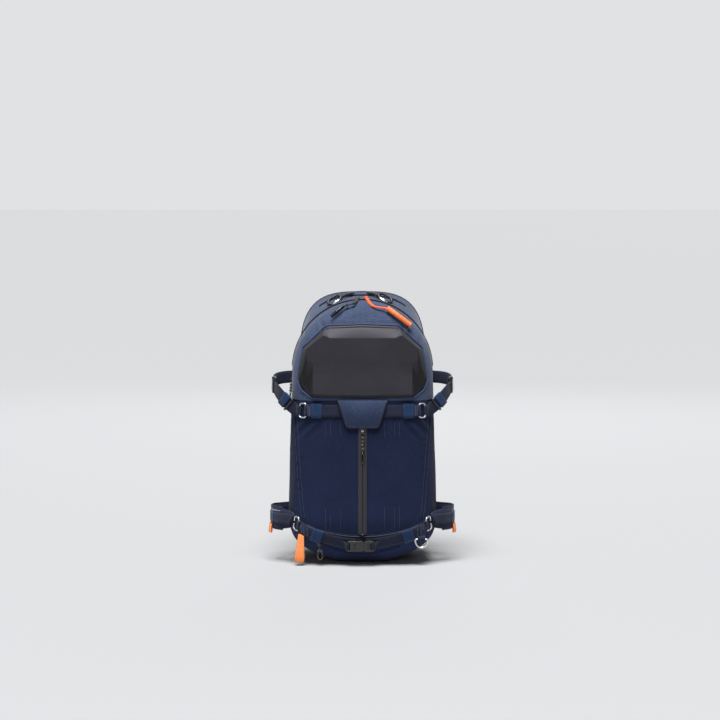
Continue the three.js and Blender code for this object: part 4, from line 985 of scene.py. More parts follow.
def strip(name, place, steps, width, material):
    """A flat woven strip. place(t, a, h) is its point at t along, a across and h through it."""
    rows = [[place(i / steps, a, h) for a, h in SECTION] for i in range(steps + 1)]
    points = np.array([[tuple(p) for p in row] for row in rows])
    along = arc_lengths(points[:, 8:9], 0)[:, 0]
    made = bmesh.new()
    verts = [[made.verts.new(p) for p in row] for row in points]
    threads = made.loops.layers.uv.new("UVMap")
    count = len(SECTION)
    for i in range(steps):
        for k in range(count):
            n = (k + 1) % count
            spots = ((i, k), (i, n), (i + 1, n), (i + 1, k))
            face = made.faces.new([verts[r][c] for r, c in spots])
            for loop, (r, c) in zip(face.loops, spots):
                loop[threads].uv = (along[r], SECTION[c][0] * width / 2)
    for ring in (verts[0][::-1], verts[-1]):
        made.faces.new(ring)
    bmesh.ops.recalc_face_normals(made, faces=made.faces)
    return finished(made, name, material)


def front_strip(name, line, x0, x1, width, lift, thick, material, steps=40):
    """A strip that lies on the front along z = line(x)."""

    def place(t, a, h):
        x = x0 + (x1 - x0) * t
        slope = (line(x + 0.0005) - line(x - 0.0005)) / 0.001
        across = Vector((-slope, 0, 1)).normalized() * (a * width / 2)
        return on_front(x + across.x, line(x) + across.z, lift + h * thick)[0]

    return strip(name, place, steps, width, material)


def heading(points, i):
    """The way that a line of points runs at one of them."""
    return (points[min(i + 1, len(points) - 1)] - points[max(i - 1, 0)]).normalized()


def square_to(way, along):
    way = Vector(way)
    return (way - along * way.dot(along)).normalized()


def path_strip(name, path, across, width, thick, material, smooth=6):
    """A strip through points in space. width is one size, or one for each point."""
    points = smooth_path(path, smooth)
    widths = np.interp(
        np.linspace(0, 1, len(points)),
        np.linspace(0, 1, len(path)),
        width if hasattr(width, "__len__") else [width] * len(path),
    )
    last = len(points) - 1

    def place(t, a, h):
        i = round(t * last)
        along = heading(points, i)
        side = square_to(across, along)
        out = along.cross(side)
        return points[i] + side * (a * widths[i] / 2) + out * ((h - 0.5) * thick)

    return strip(name, place, last, float(max(widths)), material)


def front_strap_line(x):
    return STRAP_Z


SIDES = (("left", -1), ("right", 1))
UPPER_END = UPPER_HOOK_X - WIRE - 0.0004
LOWER_END = LOWER_HOOK_X - WIRE - 0.001

front_strap = front_strip(
    "front_strap_webbing", front_strap_line, -UPPER_END, UPPER_END, 0.025, WEB_LIFT, WEB_THICK,
    webbing_cloth, 90,
)
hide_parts("front_strap")
ride_all("pack", "navy_webbing", front_strap)

for side, k in SIDES:
    inner = 0.014 if k < 0 else 0.008
    low_strap = front_strip(
        "base_strap_webbing_" + side, base_strap_line, k * inner, k * LOWER_END, 0.022, WEB_LIFT,
        WEB_THICK, webbing_cloth, 50,
    )
    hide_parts("base_strap_" + side)
    # The tail folded back from the hook lies on the strap, and a keeper holds its end.
    folded = WEB_LIFT + WEB_THICK + 0.0001
    upper_tail = front_strip(
        "front_strap_fold_" + side, front_strap_line, k * 0.094, k * UPPER_END, 0.0245, folded, 0.0013,
        webbing_cloth, 14,
    )
    lower_tail = front_strip(
        "base_strap_fold_" + side, base_strap_line, k * 0.092, k * LOWER_END, 0.0215, folded, 0.0013,
        webbing_cloth, 18,
    )
    upper_keeper = front_strip(
        "front_strap_keeper_" + side, front_strap_line, k * 0.0815, k * 0.1, 0.029, folded + 0.0004,
        0.0017, elastic_cloth, 14,
    )
    lower_keeper = front_strip(
        "base_strap_keeper_" + side, base_strap_line, k * 0.0805, k * 0.1, 0.026, folded + 0.0004,
        0.0017, elastic_cloth, 14,
    )
    ride_all("pack", "navy_webbing", low_strap, upper_tail, lower_tail, upper_keeper, lower_keeper)

# ---- Stitches -------------------------------------------------------------------------------------
# Bonded polyester thread in lock stitch. Each stitch is a small bead of thread pulled into the cloth.


def row_tree(name):
    """A tree that sets small beads along lines: Spacing, Size and Finish are its inputs."""
    tree = bpy.data.node_groups.new(name, "GeometryNodeTree")
    sockets = {
        label: tree.interface.new_socket(label, in_out="INPUT", socket_type=kind)
        for label, kind in (
            ("Geometry", "NodeSocketGeometry"),
            ("Spacing", "NodeSocketFloat"),
            ("Size", "NodeSocketVector"),
            ("Finish", "NodeSocketMaterial"),
        )
    }
    tree.interface.new_socket("Geometry", in_out="OUTPUT", socket_type="NodeSocketGeometry")
    start = add(tree, "NodeGroupInput")
    lines = add(tree, "GeometryNodeMeshToCurve", {"Mesh": start.outputs["Geometry"]})
    even = add(
        tree,
        "GeometryNodeResampleCurve",
        {"Curve": lines.outputs["Curve"], "Length": start.outputs["Spacing"]},
        mode="LENGTH",
    )
    tangent = add(tree, "GeometryNodeInputTangent")
    out = add(tree, "GeometryNodeInputNamedAttribute", {"Name": "out"}, data_type="FLOAT_VECTOR")
    turned = add(
        tree, "FunctionNodeAlignRotationToVector", {"Vector": tangent.outputs["Tangent"]}, axis="X"
    )
    stood = add(
        tree,
        "FunctionNodeAlignRotationToVector",
        {"Rotation": turned.outputs["Rotation"], "Vector": out.outputs["Attribute"]},
        axis="Z",
        pivot_axis="X",
    )
    bead = add(tree, "GeometryNodeMeshUVSphere", {"Segments": 6, "Rings": 4, "Radius": 0.5})
    placed = add(
        tree,
        "GeometryNodeInstanceOnPoints",
        {
            "Points": even.outputs["Curve"],
            "Instance": bead.outputs["Mesh"],
            "Rotation": stood.outputs["Rotation"],
            "Scale": start.outputs["Size"],
        },
    )
    real = add(tree, "GeometryNodeRealizeInstances", {"Geometry": placed.outputs["Instances"]})
    painted = add(
        tree,
        "GeometryNodeSetMaterial",
        {"Geometry": real.outputs["Geometry"], "Material": start.outputs["Finish"]},
    )
    add(tree, "NodeGroupOutput", {"Geometry": painted.outputs["Geometry"]})
    return tree, {label: socket.identifier for label, socket in sockets.items()}


STITCH_ROW = row_tree("stitch_row")


def set_along(name, lines, row, spacing, size, finish):
    """Small solids along lines of (point, way out), made one plain mesh."""
    points, outs, edges = [], [], []
    for line in lines:
        first = len(points)
        points += [tuple(p) for p, _ in line]
        outs += [tuple(o) for _, o in line]
        edges += [(i, i + 1) for i in range(first, len(points) - 1)]
    wire = bpy.data.meshes.new(name)
    wire.from_pydata(points, edges, [])
    wire.attributes.new("out", "FLOAT_VECTOR", "POINT").data.foreach_set(
        "vector", np.array(outs, np.float32).ravel()
    )
    obj = link(bpy.data.objects.new(name, wire))
    tree, sockets = row
    rows = obj.modifiers.new("row", "NODES")
    rows.node_group = tree
    rows[sockets["Spacing"]] = spacing
    rows[sockets["Size"]] = size
    rows[sockets["Finish"]] = finish
    made = bpy.data.meshes.new_from_object(obj.evaluated_get(bpy.context.evaluated_depsgraph_get()))
    obj.modifiers.clear()
    obj.data = made
    return obj


# Thread with a soft gloss, its colour a little lighter than the cloth so that the seams read.
def thread(name, dark, light):
    return toned(name, dark, light, 900.0, Roughness=0.55, Sheen_Weight=0.2)[0]


navy_thread = thread("navy_bonded_thread", "#2b3554", "#3d4a70")
pale_thread = thread("slate_bonded_thread", "#4d5c80", "#66759a")
black_thread = thread("black_bonded_thread", "#17181d", "#292a31")
white_thread = thread("reflective_white_thread", "#b9bdc4", "#e2e4e8")
STITCH = (0.0025, 0.00065, 0.0006)


def front_line(points, lift=0.0004, steps=24):
    """Points on the front, with the way out, along x and z pairs."""
    found = []
    for (x0, z0), (x1, z1) in zip(points, points[1:]):
        for i in range(steps + 1):
            t = i / steps
            found.append(on_front(x0 + (x1 - x0) * t, z0 + (z1 - z0) * t, lift))
    return found


def sewn(name, lines, body, slot, finish, spacing=0.0034, size=STITCH):
    """Rows of stitches along lines of (point, way out)."""
    obj = set_along(name, lines, STITCH_ROW, spacing, size, finish)
    ride_all(body, slot, obj)
    return obj


pocket_lines = []
for k in (-1, 1):
    for offset in (-0.0032, 0.0032):
        heights = np.linspace(0.1, 0.29, 60)
        pocket_lines.append([on_front(k * (side_seam_x(z) + offset), z, 0.0003) for z in heights])
# Short tucks take in the cloth under the strap and over the base seam.
for x in (-0.074, -0.064, -0.044, 0.044, 0.064, 0.074):
    pocket_lines.append(front_line([(x, 0.076), (x, 0.118)], 0.0002))
    pocket_lines.append(front_line([(x, 0.262), (x, 0.288)], 0.0002))
seam_x = np.linspace(-0.14, 0.14, 120)
pocket_lines.append([on_front(x, float(base_seam(x)) + 0.0032, 0.0002) for x in seam_x])
sewn("front_bag_stitches", pocket_lines, "pack", "navy_fabric", navy_thread)
base_lines = [[on_front(x, float(base_seam(x)) - 0.0034, 0.0002) for x in seam_x]]
sewn("base_bag_stitches", base_lines, "pack", "navy_fabric", navy_thread)

groove = face_points[20]
face_groove = [(Vector(p) + Vector((0, -0.0002, 0)), Vector((0, -1, 0))) for p in groove[::2]]
sewn("face_stitches", [face_groove + face_groove[:1]], "front_lid", "moulded_foam", black_thread)
crown_arc = [(x, z) for x, z in face_rim if z > 0.42]
upper_arc = sorted(crown_arc, key=lambda p: math.atan2(p[1] - FACE_MID, p[0]))
lid_lines = [
    [
        on_front(x * wide, FACE_MID + (z - FACE_MID) * high, 0.0005)
        for x, z in upper_arc
        if abs(x) < reach_out
    ]
    for wide, high, reach_out in ((1.03, 1.055, 1), (1.05, 1.115, 0.075), (1.05, 1.15, 0.07))
]
sewn("lid_stitches", lid_lines, "front_lid", "navy_fabric", pale_thread)

# Bartacks: short zigzags of dense thread where the webbing is folded at the hooks.


def zigzag(place, x0, x1, half, turns=9):
    """A line of dense stitches between two sides, from place(x, across)."""
    found = []
    for i in range(turns + 1):
        x = x0 + (x1 - x0) * i / turns
        found.append(place(x, half if i % 2 else -half))
    return found


def on_strap(line, lift):
    return lambda x, a: on_front(x, line(x) + a, lift)


TACK_LIFT = WEB_LIFT + 2 * WEB_THICK
tacks = []
for k in (-1, 1):
    for x in (0.103, 0.1065):
        tacks.append(zigzag(on_strap(front_strap_line, TACK_LIFT), k * x, k * (x + 0.0016), 0.0095))
    for x in (0.108, 0.1145, 0.119):
        tacks.append(zigzag(on_strap(base_strap_line, TACK_LIFT), k * x, k * (x + 0.0016), 0.008))
sewn("strap_bartacks", tacks, "pack", "navy_webbing", navy_thread, 0.0013, (0.0017, 0.0006, 0.0006))

# ---- Flap over the strap --------------------------------------------------------------------------
# A trapezoid of a darker copy of the lighter nylon, the darkening painted shade on the hanging flap, two
# layers thick, that hangs from the lid's edge over the middle of the strap. Its edge is bound with folded
# tape.

FLAP_TOP, FLAP_LOW = 0.3325, 0.278
FLAP_HALF_TOP, FLAP_HALF_LOW = 0.0485, 0.032
FLAP_LIFT = WEB_LIFT + WEB_THICK + 0.0008
FLAP_THICK = 0.002


def flap_point(u, v, lift):
    """u from -1 to 1 across, v from 0 at the top to 1 at the lower edge, which has round corners."""
    half = FLAP_HALF_TOP + (FLAP_HALF_LOW - FLAP_HALF_TOP) * v
    drop = v - 0.05 * max(0, abs(u) - 0.8) ** 2 / 0.04 * max(0, v - 0.8) / 0.2
    sag = 0.0075 * (1 - 0.3 * u * u) * math.sin(math.pi * min(1, v) ** 0.75)
    return on_front(u * half, FLAP_TOP + (FLAP_LOW - FLAP_TOP) * drop, lift + sag)


flap_rows = np.array(
    [
        [tuple(flap_point(u, v, FLAP_LIFT + FLAP_THICK)[0]) for u in np.linspace(-1, 1, 41)]
        for v in np.linspace(0, 1, 31)
    ]
)
# Painted shade: the flap's nylon is a darker copy of the top nylon.
flap_nylon_painted_shade = woven_nylon("slate_flap_nylon", "#1d263c", "#36425e", sheen=0.12)
strap_flap = sew(
    "strap_flap_cloth", flap_rows, np.stack([flap_rows[..., 0], flap_rows[..., 2]], -1), flap_nylon_painted_shade
)
line_cloth(strap_flap, 0.0018)
fit(strap_flap, "strap_flap", "pack")
edge_spots = [(-1, v) for v in np.linspace(0, 1, 16)]
edge_spots += [(u, 1) for u in np.linspace(-0.9, 0.9, 22)]
edge_spots += [(1, v) for v in np.linspace(1, 0, 16)]
flap_edge = [flap_point(u, v, FLAP_LIFT + FLAP_THICK - 0.0009)[0] for u, v in edge_spots]
flap_tape = tube("strap_flap_binding", flap_edge, 0.0015, coated_cord, 8, flat=0.8)
ride_all("pack", "navy_fabric", flap_tape)
inset_spots = [(0.93 * u, 0.97 * v if v == 1 else v) for u, v in edge_spots]
flap_seam = [flap_point(u, min(v, 0.955), FLAP_LIFT + FLAP_THICK + 0.0002) for u, v in inset_spots]
sewn("strap_flap_stitches", [flap_seam], "pack", "navy_fabric", navy_thread)

# ---- Hooks ----------------------------------------------------------------------------------------
# Bent stainless wire, 3 mm thick and polished, with a mouth on its outer side. The strap's end is
# sewn round one bar and the ski strap's loop is dropped over the other.

polished_wire = brushed("polished_stainless_wire", "#eceef0", 0.3, 900.0)
HOOK_WIDE, HOOK_HALF, HOOK_CORNER, HOOK_MOUTH = 0.0145, 0.014, 0.004, 0.0025


def hook_seat(k, bar_x, line, rise):
    """The bar's middle, the way to the outer wire, and the bar's direction."""
    lift = WEB_LIFT + WEB_THICK / 2 + WIRE
    start, out = on_front(k * bar_x, line(bar_x), lift)
    far, _ = on_front(k * (bar_x + HOOK_WIDE), line(bar_x + HOOK_WIDE), lift)
    toward = (far - start).normalized()
    bar = toward.cross(out).normalized()
    bar = bar if bar.z > 0 else -bar
    return start + bar * rise, toward, bar


def bent_wire(seat, toward, bar):
    """The line of a hook's wire, from one side of its mouth round to the other."""
    w, h, c, m = HOOK_WIDE, HOOK_HALF, HOOK_CORNER, HOOK_MOUTH
    flat = [(w, -m)]
    corners = (((w - c, c - h), 0), ((c, c - h), 270), ((c, h - c), 180), ((w - c, h - c), 90))
    for centre, first in corners:
        for i in range(7):
            a = math.radians(first - 15 * i)
            flat.append((centre[0] + c * math.cos(a), centre[1] + c * math.sin(a)))
    flat.append((w, m))
    return [seat + toward * a + bar * b for a, b in flat]


seats = {}
for side, k in SIDES:
    for level, bar_x, line, rise in (
        ("upper", UPPER_HOOK_X, front_strap_line, 0),
        ("lower", LOWER_HOOK_X, base_strap_line, 0.004),
    ):
        seat = hook_seat(k, bar_x, line, rise)
        seats[level, side] = seat
        node = f"hook_{level}_{side}"
        wire = tube(node + "_wire", bent_wire(*seat), WIRE, polished_wire, 14)
        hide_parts(node)
        ride_all(node, "hook_steel", wire)
        # The strap's end, sewn round the hook's inner bar.
        middle, toward, bar = seat
        out = toward.cross(bar).normalized()
        out = out if out.y < 0 else -out
        turns = [math.radians(a) for a in range(-90, 91, 15)]
        wrap = [middle + toward * (0.0027 * math.cos(a)) + out * (0.0027 * math.sin(a)) for a in turns]
        wrap = [wrap[0] - toward * 0.004, *wrap, wrap[-1] - toward * 0.004]
        wide = 0.0225 if level == "upper" else 0.0195
        loop = path_strip(f"{node}_loop", wrap, bar, wide, 0.0013, webbing_cloth, 2)
        ride_all("pack", "navy_webbing", loop)

# ---- Ski straps -----------------------------------------------------------------------------------
# Above, webbing runs from each hook out round the ski, through an adjuster, and back to the flank.
# Below, a padded loop takes the ski's tail. Both are sewn into the pack's sides.


def flank_x(y, z):
    """Half width of the pack at a height, on a plane between the zip and the back."""
    s = (y - ZIP_Y) / (BACK_Y - ZIP_Y)
    found = []
    for edge in (front_edge, back_edge):
        low, high = 0.0, 0.3
        for _ in range(40):
            x = (low + high) / 2
            low, high = (x, high) if float(edge(np.array(x), np.array(z))) < 1 else (low, x)
        found.append(low)
    return found[0] * (1 - s) + found[1] * s


strap_side, loop_side = flank_x(ZIP_Y, 0.35), flank_x(ZIP_Y, 0.09)

# The straps' routes: outwards from the pack's side, back from the zip's plane, and up, in millimetres.
ROUND_SKI = [(11, -38, 328), (25, -27, 343), (34, -11, 354), (37, 10, 362), (32, 25, 367), (18, 35, 370)]
ROUND_TAIL = [(17, -32, 90), (30, -16, 90), (35, 6, 90), (31, 30, 89), (19, 46, 88)]

# Acetal from a fine-sparked mould: a low gloss under a thin bright skin.
black_acetal, acetal_tree, acetal_shader, acetal_grain = toned(
    "moulded_black_acetal", "#0d0d0f", "#19191c", 800.0,
    Roughness=0.24, IOR=1.5, Coat_Weight=0.4, Coat_Roughness=0.1,
)
acetal_gloss = add(
    acetal_tree,
    "ShaderNodeMapRange",
    {"Value": acetal_grain.outputs["Fac"], "To Min": 0.18, "To Max": 0.32},
)
acetal_relief = add(
    acetal_tree,
    "ShaderNodeBump",
    {"Height": acetal_grain.outputs["Fac"], "Strength": 0.12, "Distance": 0.0002},
)
acetal_tree.links.new(acetal_gloss.outputs["Result"], acetal_shader.inputs["Roughness"])
acetal_tree.links.new(acetal_relief.outputs["Normal"], acetal_shader.inputs["Normal"])


def softened(node, name, material, radius, segments=3, angle=38):
    """A finished copy of a solid: its flat faces made whole and its edges rounded."""
    source = frame["nodes"][node]
    solid = bmesh.new()
    solid.from_mesh(source.data)
    bmesh.ops.remove_doubles(solid, verts=solid.verts, dist=2e-6)
    bmesh.ops.dissolve_limit(solid, angle_limit=0.02, verts=solid.verts, edges=solid.edges)
    obj = finished(solid, name, material)
    edges = obj.modifiers.new("rounded_edges", "BEVEL")
    edges.width, edges.segments = radius, segments
    edges.limit_method, edges.angle_limit = "ANGLE", math.radians(angle)
    edges.harden_normals = True
    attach(obj, source["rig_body"])
    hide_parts(node)
    return obj


def offset_path(path, across, lift):
    """The same path moved out along its own normal."""
    points = [Vector(p) for p in path]
    across = Vector(across)
    return [p + heading(points, i).cross(across).normalized() * lift for i, p in enumerate(points)]


orange_tape = woven_nylon(
    "orange_polyester_webbing", "#ff7a35", "#ffb070", thread=0.0016, roughness=0.6, sheen=0.15, depth=0.6
)
UP = (0, 0, 1)
padded_nylon = woven_nylon("padded_navy_nylon", "#171c30", "#242b46", sheen=0.2)

for side, k in SIDES:
    seat, toward, _ = seats["upper", side]
    start = seat + toward * (HOOK_WIDE + WIRE + 0.0006)
    ski_round = [
        Vector((k * (strap_side + out / 1000), ZIP_Y + back / 1000, z / 1000)) for out, back, z in ROUND_SKI
    ]
    sewn_in = [
        Vector((k * (flank_x(ZIP_Y + back, 0.371) + lift), ZIP_Y + back, 0.371))
        for back, lift in ((0.044, 0.0042), (0.056, 0.0018))
    ]
    ski_path = [start, start + toward * 0.008, *ski_round, *sewn_in]
    ski_strap = path_strip(
        "ski_strap_" + side, ski_path, UP, [0.02, 0.024] + [0.025] * 8, WEB_THICK, webbing_cloth, 8
    )
    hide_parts("side_strap_" + side)
    # A blue elastic keeper, and the tail folded inside the strap, between the hook and the adjuster.
    near = smooth_path(ski_path, 8)
    keeper = path_strip("ski_strap_keeper_" + side, near[15:21], UP, 0.0285, 0.0056, elastic_cloth, 2)
    tail = path_strip(
        "ski_strap_tail_" + side, offset_path(near[12:40], UP, -k * 0.0018), UP, 0.024, 0.0014,
        webbing_cloth, 1,
    )
    collar = path_strip("ski_strap_collar_" + side, near[13:15], UP, 0.0305, 0.0066, black_acetal, 3)
    outwards = toward.cross(Vector(UP)).normalized()
    eye_path = [
        seat + toward * (HOOK_WIDE + a) + outwards * b
        for a, b in (
            (0.007, -0.0022), (0.001, -0.0026), (-0.0026, 0.0), (0.001, 0.0026), (0.007, 0.0022)
        )
    ]
    hook_wrap = path_strip("ski_strap_eye_" + side, eye_path, UP, 0.0185, 0.0012, webbing_cloth, 4)
    ride_all("pack", "navy_webbing", ski_strap, keeper, tail, hook_wrap)
    ride_all("pack", "buckle_plastic", collar)
    adjuster = softened("side_buckle_" + side, "ski_strap_buckle_" + side, black_acetal, 0.0007)

    seat, toward, _ = seats["lower", side]
    start = seat + toward * (HOOK_WIDE + WIRE + 0.0044) + Vector((0, -0.0025, 0))
    tail_round = [
        Vector((k * (loop_side + out / 1000), ZIP_Y + back / 1000, z / 1000)) for out, back, z in ROUND_TAIL
    ]
    sewn_in = [
        Vector((k * (flank_x(ZIP_Y + back, 0.088) + lift), ZIP_Y + back, 0.088))
        for back, lift in ((0.06, 0.0035), (0.074, 0.0025))
    ]
    loop_path = [start, start + toward * 0.007, *tail_round, *sewn_in]
    tail_loop = path_strip(
        "tail_loop_" + side, loop_path, UP, [0.02, 0.034] + [0.044] * 7, 0.0034, padded_nylon, 8
    )
    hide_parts("ski_loop_" + side)
    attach(tail_loop, "pack")
    loop_line = smooth_path(loop_path, 8)
    outer = offset_path(loop_line, UP, k * 0.0026)
    doubled = path_strip("tail_loop_web_" + side, outer[4:34], UP, 0.0235, 0.0016, webbing_cloth, 1)
    holder = path_strip("tail_loop_keeper_" + side, outer[22:27], UP, 0.029, 0.0034, elastic_cloth, 2)
    rims = []
    for end, z in (("high", 0.0218), ("low", -0.0218)):
        rim_path = [p + Vector((0, 0, z)) for p in loop_line[14:]]
        rims.append(tube(f"tail_loop_edge_{side}_{end}", rim_path, 0.0019, coated_cord, 8))
    if side == "left":
        # A reflective bartack along the upper edge.
        shown = Vector((k, -0.6, 0)).normalized()
        mark = [(p + Vector((k * 0.0022, 0, 0.0155)), shown) for p in loop_line[14:25]]
        sewn(
            "tail_loop_reflective_stitches", [mark], "pack", "navy_webbing", white_thread, 0.0042,
            (0.003, 0.0022, 0.0009),
        )
    tab_at = outer[27]
    tab_path = [
        tab_at + Vector((k * x, y, z))
        for x, y, z in (
            (0, 0, -0.008), (0.0022, -0.001, -0.02), (0.003, -0.0015, -0.029),
            (0.0008, -0.0005, -0.031), (-0.0004, 0, -0.022),
        )
    ]
    tab = path_strip("tail_loop_tab_" + side, tab_path, (0.35 * k, 1, 0), 0.014, 0.0013, orange_tape, 5)
    ride_all("pack", "navy_webbing", doubled, holder, *rims)
    ride_all("pack", "orange_webbing", tab)

# ---- Buckle of the base strap ---------------------------------------------------------------------
# A side-release buckle moulded in black acetal. The webbing passes up through a slot in each half
# and folds over its end bar.

for node, piece_name in (("buckle_socket", "base_buckle_socket"), ("buckle_plug", "base_buckle_plug")):
    half = softened(node, piece_name, black_acetal, 0.0008)

BUCKLE_SEAT, BUCKLE_OUT = on_front(0.003, 0.046, WEB_LIFT + WEB_THICK + 0.0016)
BUCKLE_UP = BUCKLE_OUT.cross(Vector((1, 0, 0))).normalized()


def at_buckle(x, height):
    return BUCKLE_SEAT + Vector((x, 0, 0)) + BUCKLE_OUT * height


for side, body, end, slot_x in (
    ("left", "pack", -0.035, -0.030),
    ("right", "buckle_plug", 0.0214, 0.0154),
):
    way = -1 if side == "left" else 1
    wrap = [
        at_buckle(end + way * 0.010, -0.001),
        at_buckle(end + way * 0.003, 0.002),
        at_buckle(end + way * 0.0012, 0.0075),
        at_buckle(end - way * 0.0015, 0.0102),
        at_buckle(slot_x + way * 0.0006, 0.0095),
        at_buckle(slot_x, 0.004),
    ]
    through = path_strip("base_buckle_web_" + side, wrap, BUCKLE_UP, 0.0152, 0.0013, webbing_cloth, 6)
    ride_all(body, "navy_webbing", through)

# Grip ribs on the two faces, for gloved fingers.
for x, body in ((-0.0215, "pack"), (0.0065, "buckle_plug")):
    for i in range(4):
        middle = at_buckle(x + 0.0017 * i, 0.0091)
        rib_line = [middle + BUCKLE_UP * a for a in (-0.0062, 0.0062)]
        rib = tube(f"base_buckle_rib_{body}_{i}", rib_line, 0.00045, black_acetal, 8)
        ride_all(body, "buckle_plastic", rib)

# ---- Loops on the base ----------------------------------------------------------------------------
# An orange webbing loop for an ice axe hangs at the left; at the right a steel ring hangs from a tab.

axe_low, axe_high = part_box("axe_loop")
axe_x, axe_y = (axe_low.x + axe_high.x) / 2, (axe_low.y + axe_high.y) / 2
axe_path = [
    (axe_x + 0.003, axe_y + 0.0042, axe_high.z + 0.006),
    (axe_x + 0.001, axe_y + 0.0044, 0.034),
    (axe_x, axe_y + 0.0046, 0.018),
    (axe_x, axe_y + 0.003, 0.0095),
    (axe_x, axe_y - 0.0003, 0.0074),
    (axe_x, axe_y - 0.0036, 0.0095),
    (axe_x, axe_y - 0.0048, 0.018),
    (axe_x + 0.001, axe_y - 0.0046, 0.034),
    (axe_x + 0.003, axe_y - 0.002, axe_high.z + 0.004),
]
axe_width = [0.011, 0.0165, 0.02, 0.018, 0.013, 0.018, 0.02, 0.0165, 0.011]
axe_loop = path_strip("axe_loop_webbing", axe_path, (1, 0, 0), axe_width, 0.0019, orange_tape, 8)
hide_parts("axe_loop")
ride_all("pack", "orange_webbing", axe_loop)
axe_tab = front_strip(
    "axe_loop_tab", lambda x: 0.064 - 0.3 * (x - axe_x), axe_x - 0.004, axe_x + 0.011, 0.012, 0.0006,
    0.0022, webbing_cloth, 8,
)
ride_all("pack", "navy_webbing", axe_tab)

ring_low, ring_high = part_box("gear_ring")
RING_X, RING_Z, RING_R, RING_WIRE = 0.118, 0.053, 0.0125, 0.0019
ring_y = (ring_low.y + ring_high.y) / 2
half_turn = [math.radians(a) for a in range(180, 361, 9)]
ring_path = [
    (RING_X + RING_R * math.cos(a), ring_y, RING_Z + 1.3 * RING_R * math.sin(a)) for a in half_turn
]
ring_path += [(RING_X + RING_R * c, ring_y, RING_Z + 0.0006) for c in (0.93, 0.5, 0, -0.5, -0.93)]
gear_ring = tube("gear_ring_wire", ring_path, RING_WIRE, polished_wire, 14, closed=True, up=(0, 1, 0))
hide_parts("gear_ring")
ride_all("gear_ring", "hook_steel", gear_ring)
tab_out = on_front(RING_X, 0.074, 0.0014)[0]
tab_wrap = [
    tab_out,
    Vector((RING_X, ring_y + 0.0018, RING_Z + 0.009)),
    Vector((RING_X, ring_y - 0.003, RING_Z + 0.0048)),
    Vector((RING_X, ring_y - 0.0042, RING_Z + 0.0004)),
    Vector((RING_X, ring_y - 0.0006, RING_Z - 0.0036)),
    Vector((RING_X, ring_y + 0.0034, RING_Z - 0.001)),
    Vector((RING_X, ring_y + 0.004, RING_Z + 0.005)),
]
ring_tab = path_strip("gear_ring_tab", tab_wrap, (1, 0, 0), 0.0155, 0.0011, webbing_cloth, 6)
ride_all("pack", "navy_webbing", ring_tab)

haul_half, haul_y = 0.03, BACK_Y + 0.008
haul_path = [
    (-haul_half, haul_y - 0.004, 0.494),
    (-haul_half, haul_y, 0.508),
    (-haul_half + 0.001, haul_y + 0.001, 0.528),
    (-haul_half + 0.012, haul_y + 0.002, 0.5395),
    (haul_half - 0.012, haul_y + 0.002, 0.5395),
    (haul_half - 0.001, haul_y + 0.001, 0.528),
    (haul_half, haul_y, 0.508),
    (haul_half, haul_y - 0.004, 0.494),
]
haul_loop = path_strip("haul_loop_webbing", haul_path, (0, 1, 0), 0.013, 0.003, webbing_cloth, 8)
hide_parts("haul_loop")
ride_all("pack", "navy_webbing", haul_loop)

# ---- Zips -----------------------------------------------------------------------------------------
# Coil zips on woven tape. The middle one has a polyurethane film over its tape that hides the coil;
# the film is smooth, black and slightly glossy.

zip_tape = woven_nylon(
    "black_zip_tape", "#131318", "#1f1f26", thread=0.0011, roughness=0.7, sheen=0.05, depth=0.5
)
film, film_tree, film_shader, film_cloud = toned(
    "polyurethane_film", "#1b1b20", "#2a2a31", 160.0, 3.0, Roughness=0.42, Specular_IOR_Level=0.45
)
film_relief = add(
    film_tree,
    "ShaderNodeBump",
    {"Height": film_cloud.outputs["Fac"], "Strength": 0.1, "Distance": 0.0003},
)
film_tree.links.new(film_relief.outputs["Normal"], film_shader.inputs["Normal"])

TOOTH_ROW = row_tree("zip_tooth_row")
TOOTH_PITCH, TOOTH = 0.0016, (0.0012, 0.0042, 0.0012)


def arch_place(y, height):
    """Places over the crest of the pack in one plane, by their angle from the top."""
    turns = np.linspace(0.1, math.pi - 0.1, 900)
    edge = ring_point(turns, np.full_like(turns, s_of(y)))
    angles = np.arctan2(edge[:, 0], edge[:, 2] - ARCH_Z)
    order = np.argsort(angles)
    radii = np.hypot(edge[:, 0], edge[:, 2] - ARCH_Z)

    def place(angle):
        near = float(np.interp(angle, angles[order], radii[order]))
        out = Vector((math.sin(angle), 0, math.cos(angle)))
        return Vector((near * math.sin(angle), y, ARCH_Z + near * math.cos(angle))) + out * height, out

    return place


ZIP_END = math.radians(86)
zip_angles = np.linspace(-ZIP_END, ZIP_END, 110)
arch_lines = [arch_place(y, 0.0004) for y in (-0.049, -0.0455, -0.042)]
arch_rows = [[line(a) for line in arch_lines] for a in zip_angles]


def tape_on_rows(name, rows, half, material):
    """A tape through rows of (low, middle, high) places, as wide as they are."""
    last = len(rows) - 1

    def place(t, a, h):
        low, mid, high = rows[round(t * last)]
        p = mid[0].lerp(high[0], a) if a > 0 else mid[0].lerp(low[0], -a)
        return p + mid[1] * (h * 0.001)

    return strip(name, place, last, 2 * half, material)


def zip_coil(name, rows, lift=0.0013):
    """The coil along the middle of a tape."""
    line = [(middle + out * lift, out) for _, (middle, out), _ in rows]
    return set_along(name, [line], TOOTH_ROW, TOOTH_PITCH, TOOTH, zip_tape)


front_tape = tape_on_rows("front_zip_cloth_tape", arch_rows, 0.0035, zip_tape)
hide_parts("front_zip_tape")
arch_teeth = zip_coil("front_zip_coil", arch_rows)
ride_all("pack", "zip_tape", front_tape, arch_teeth)

crest_turns = np.linspace(math.pi - 0.3, 0.3, 500)


def crest_place(x, y, height):
    """A point over the crest of the main bag, and the way up."""
    edge = ring_point(crest_turns, np.full_like(crest_turns, s_of(y)))
    return Vector((x, y, float(np.interp(x, edge[:, 0], edge[:, 2])) + height)), Vector((0, 0, 1))


